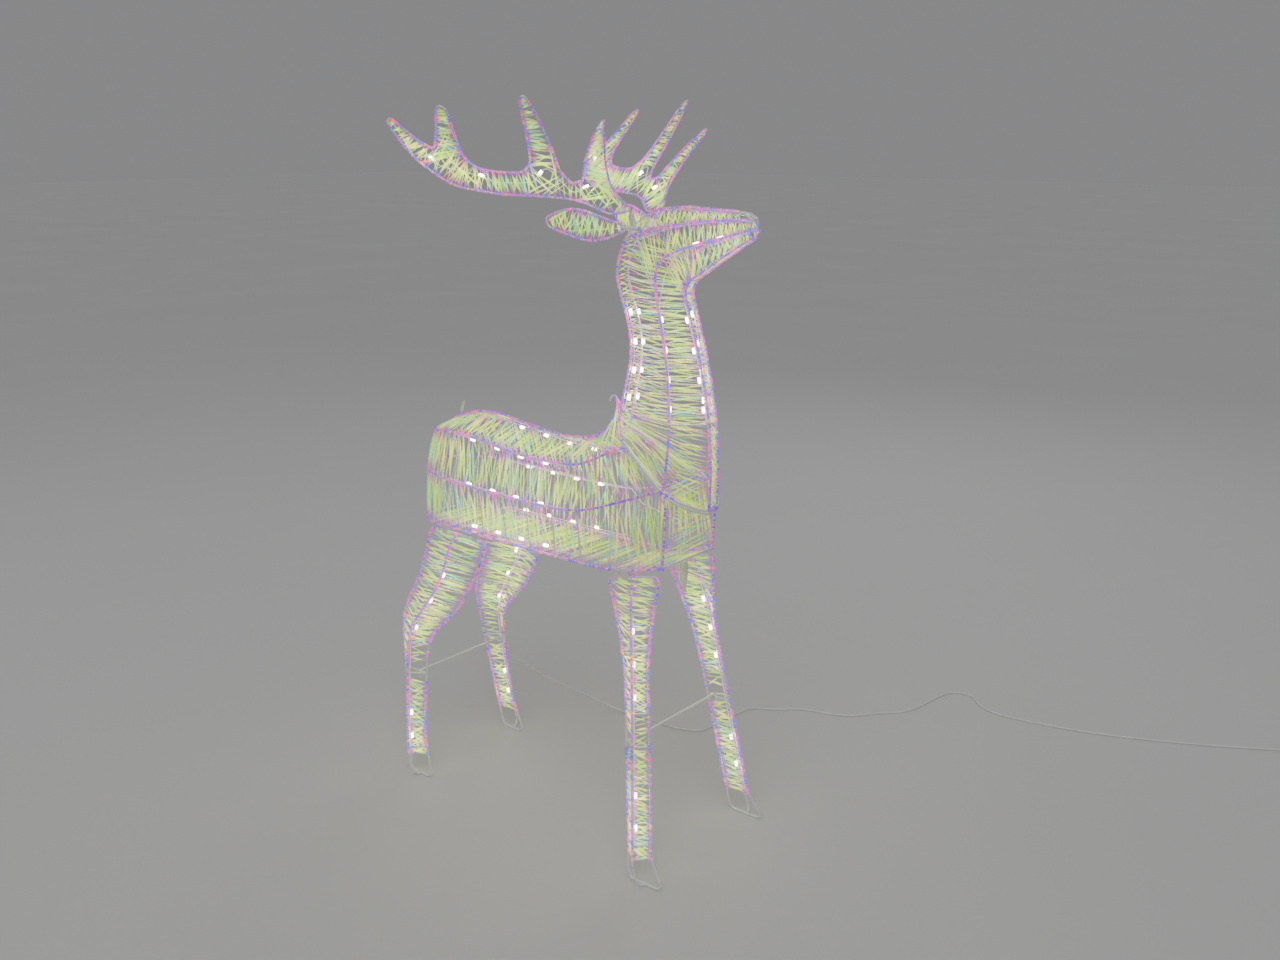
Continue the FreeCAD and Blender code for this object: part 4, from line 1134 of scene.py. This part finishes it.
@dataclass
class LeadCord:
    """The clear lead cord: down from the left hind leg, over the floor and into its coil."""

    materials: Materials
    width: float = 0.004
    route: tuple = (
        (-0.2888, 0.1063, 0.194), (-0.2878, 0.1153, 0.173), (-0.2748, 0.1663, 0.126), (-0.2558, 0.2203, 0.083),
        (-0.2258, 0.2793, 0.041), (-0.1703, 0.326, 0.0021), (-0.1023, 0.337, 0.0021), (-0.0443, 0.335, 0.0021),
        (0.0157, 0.355, 0.0021), (0.0177, 0.388, 0.0021), (0.0247, 0.465, 0.0021), (0.0307, 0.521, 0.0021),
        (0.0787, 0.541, 0.0021), (0.1147, 0.583, 0.0021), (0.2127, 0.606, 0.0021), (0.2607, 0.671, 0.0021),
        (0.3087, 0.716, 0.0021), (0.3177, 0.814, 0.0021), (0.3307, 0.868, 0.0021), (0.3747, 0.88, 0.0021),
        (0.4077, 0.84, 0.0021), (0.4517, 0.822, 0.0021), (0.5267, 0.832, 0.0021), (0.6627, 0.866, 0.0021),
        (0.8367, 0.95, 0.0021), (0.9657, 1.027, 0.0021), (1.0382, 1.0712, 0.0021),
    )
    coil_middle: tuple = (1.055, 1.042)
    radii: tuple = (0.0156, 0.0324)
    step: float = 0.0042
    layers: int = 4
    points_in_turn: int = 16
    way_out: int = 7
    entry: float = math.radians(120)
    tail: tuple = (
        (1.0650, 1.0030, 0.0038), (1.0555, 0.9827, 0.0021), (1.0710, 0.9447, 0.0021), (1.101, 0.9407, 0.0021), (1.117, 0.9667, 0.0151),
        (1.117, 0.9907, 0.0151),
    )

    def _coil(self):
        """The coil's points: spirals in and out by turns, each layer a cord's width higher."""
        points = []
        turns = round((self.radii[1] - self.radii[0]) / self.step)
        total = (turns + 1) * self.points_in_turn
        widen = 1 / math.cos(math.pi / self.points_in_turn)
        angle = self.entry
        level = self.width / 2 + 0.0001
        for layer in range(self.layers):
            for n in range(total):
                share = n / (total - 1)
                if layer % 2 == 0:
                    share = 1 - share
                radius = (self.radii[0] + (self.radii[1] - self.radii[0]) * share) * widen
                rise = self.step * max(0.0, (n - total + 6) / 6) if layer < self.layers - 1 else 0.0
                points.append((self.coil_middle[0] + radius * math.cos(angle),
                               self.coil_middle[1] + radius * math.sin(angle), level + rise))
                angle -= 2 * math.pi / self.points_in_turn
            level += self.step
        for n in range(self.way_out):
            slip = max(0.0, (n + 4 - self.way_out) / 3)
            radius = self.radii[1] * widen + 0.0040 * slip
            points.append((self.coil_middle[0] + radius * math.cos(angle),
                           self.coil_middle[1] + radius * math.sin(angle),
                           level - self.step - 0.0060 * slip))
            angle -= 2 * math.pi / self.points_in_turn
        return points[1:]

    def build(self):
        """Makes the cord."""
        points = list(self.route) + self._coil() + list(self.tail)
        curve = bpy.data.curves.new("lead_cord_line", "CURVE")
        curve.dimensions = "3D"
        curve.bevel_depth = self.width / 2
        curve.bevel_resolution = 3
        curve.resolution_u = 6
        curve.use_fill_caps = True
        spline = curve.splines.new("NURBS")
        spline.points.add(len(points) - 1)
        for point, place in zip(spline.points, points):
            point.co = (*place, 1.0)
        spline.order_u = 3
        spline.use_endpoint_u = True
        cord = bpy.data.objects.new("lead", curve)
        bpy.context.scene.collection.objects.link(cord)
        curve.materials.append(self.materials.made[Finish.CLEAR])
        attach(cord, "left_hind_leg")
        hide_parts("lead_cord", "lead_coil", "adapter_cord")
        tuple(self.route[0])
        StrainRelief(self.materials).build()


# ---------------------------------------------------------------- studio


@dataclass(frozen=True)
class Studio:
    """A pale floor, soft lights and a camera that looks from ahead and right of the figure."""

    camera_place: tuple = (1.4438, -1.5920, 1.2025)
    camera_turn: tuple = (math.radians(74.710), 0.0, math.radians(39.203))
    lens: float = 35.87
    backdrop: tuple = (0.42, 0.42, 0.43)

    def build(self, materials):
        """Makes the floor, the lights and the camera.

        Args:
            materials: the made materials.
        """
        mesh = bpy.data.meshes.new("floor")
        size, cells = 30.0, 40
        rows = [size * (2 * n / cells - 1) for n in range(cells + 1)]
        verts = [(x, y, 0.0) for y in rows for x in rows]
        wide = cells + 1
        faces = [(n, n + 1, n + wide + 1, n + wide) for n in range(wide * cells) if n % wide < cells]
        mesh.from_pydata(verts, [], faces)
        floor = bpy.data.objects.new("floor", mesh)
        bpy.context.scene.collection.objects.link(floor)
        materials.give(floor, Finish.FLOOR)
        sun = bpy.data.lights.new("sky", "SUN")
        sun.energy = 0.7
        sun.angle = 0.8
        item = bpy.data.objects.new("sky", sun)
        item.rotation_euler = (math.radians(28), math.radians(18), 0.0)
        bpy.context.scene.collection.objects.link(item)
        self._light("key", (1.6, -2.2, 3.2), (0.0, 0.0, 0.7), 2.4, 20.0)
        self._light("fill", (-2.6, -1.4, 2.2), (0.0, 0.0, 0.6), 2.8, 8.0)
        self._light("rim", (-0.8, 2.8, 2.6), (0.0, 0.0, 0.8), 2.0, 14.0)
        world = bpy.data.worlds.new("studio")
        world.use_nodes = True
        world.node_tree.nodes["Background"].inputs["Color"].default_value = rgba(self.backdrop)
        world.node_tree.nodes["Background"].inputs["Strength"].default_value = 0.6
        bpy.context.scene.world = world
        camera = bpy.data.objects.new("camera", bpy.data.cameras.new("camera"))
        camera.location = self.camera_place
        camera.rotation_euler = self.camera_turn
        camera.data.sensor_width = 36.0
        camera.data.lens = self.lens
        camera.data.clip_end = 40.0
        bpy.context.scene.collection.objects.link(camera)
        bpy.context.scene.camera = camera

    @staticmethod
    def _light(name, place, target, size, power):
        lamp = bpy.data.lights.new(name, "AREA")
        lamp.shape = "DISK"
        lamp.size = size
        lamp.energy = power
        item = bpy.data.objects.new(name, lamp)
        item.location = place
        item.rotation_euler = (Vector(target) - Vector(place)).to_track_quat("-Z", "Y").to_euler()
        bpy.context.scene.collection.objects.link(item)


def main():
    """Builds every piece in order."""
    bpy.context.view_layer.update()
    materials = Materials()
    studio = Studio()
    studio.build(materials)
    FrameParts().dress(materials)
    LeadCord(materials).build()
    bulbs = Bulbs()
    FilmWinding(materials, bulbs).build()
    bulbs.remove()
    log.info("bulbs %d", len(bulbs.places))


if __name__ == "__main__":
    main()
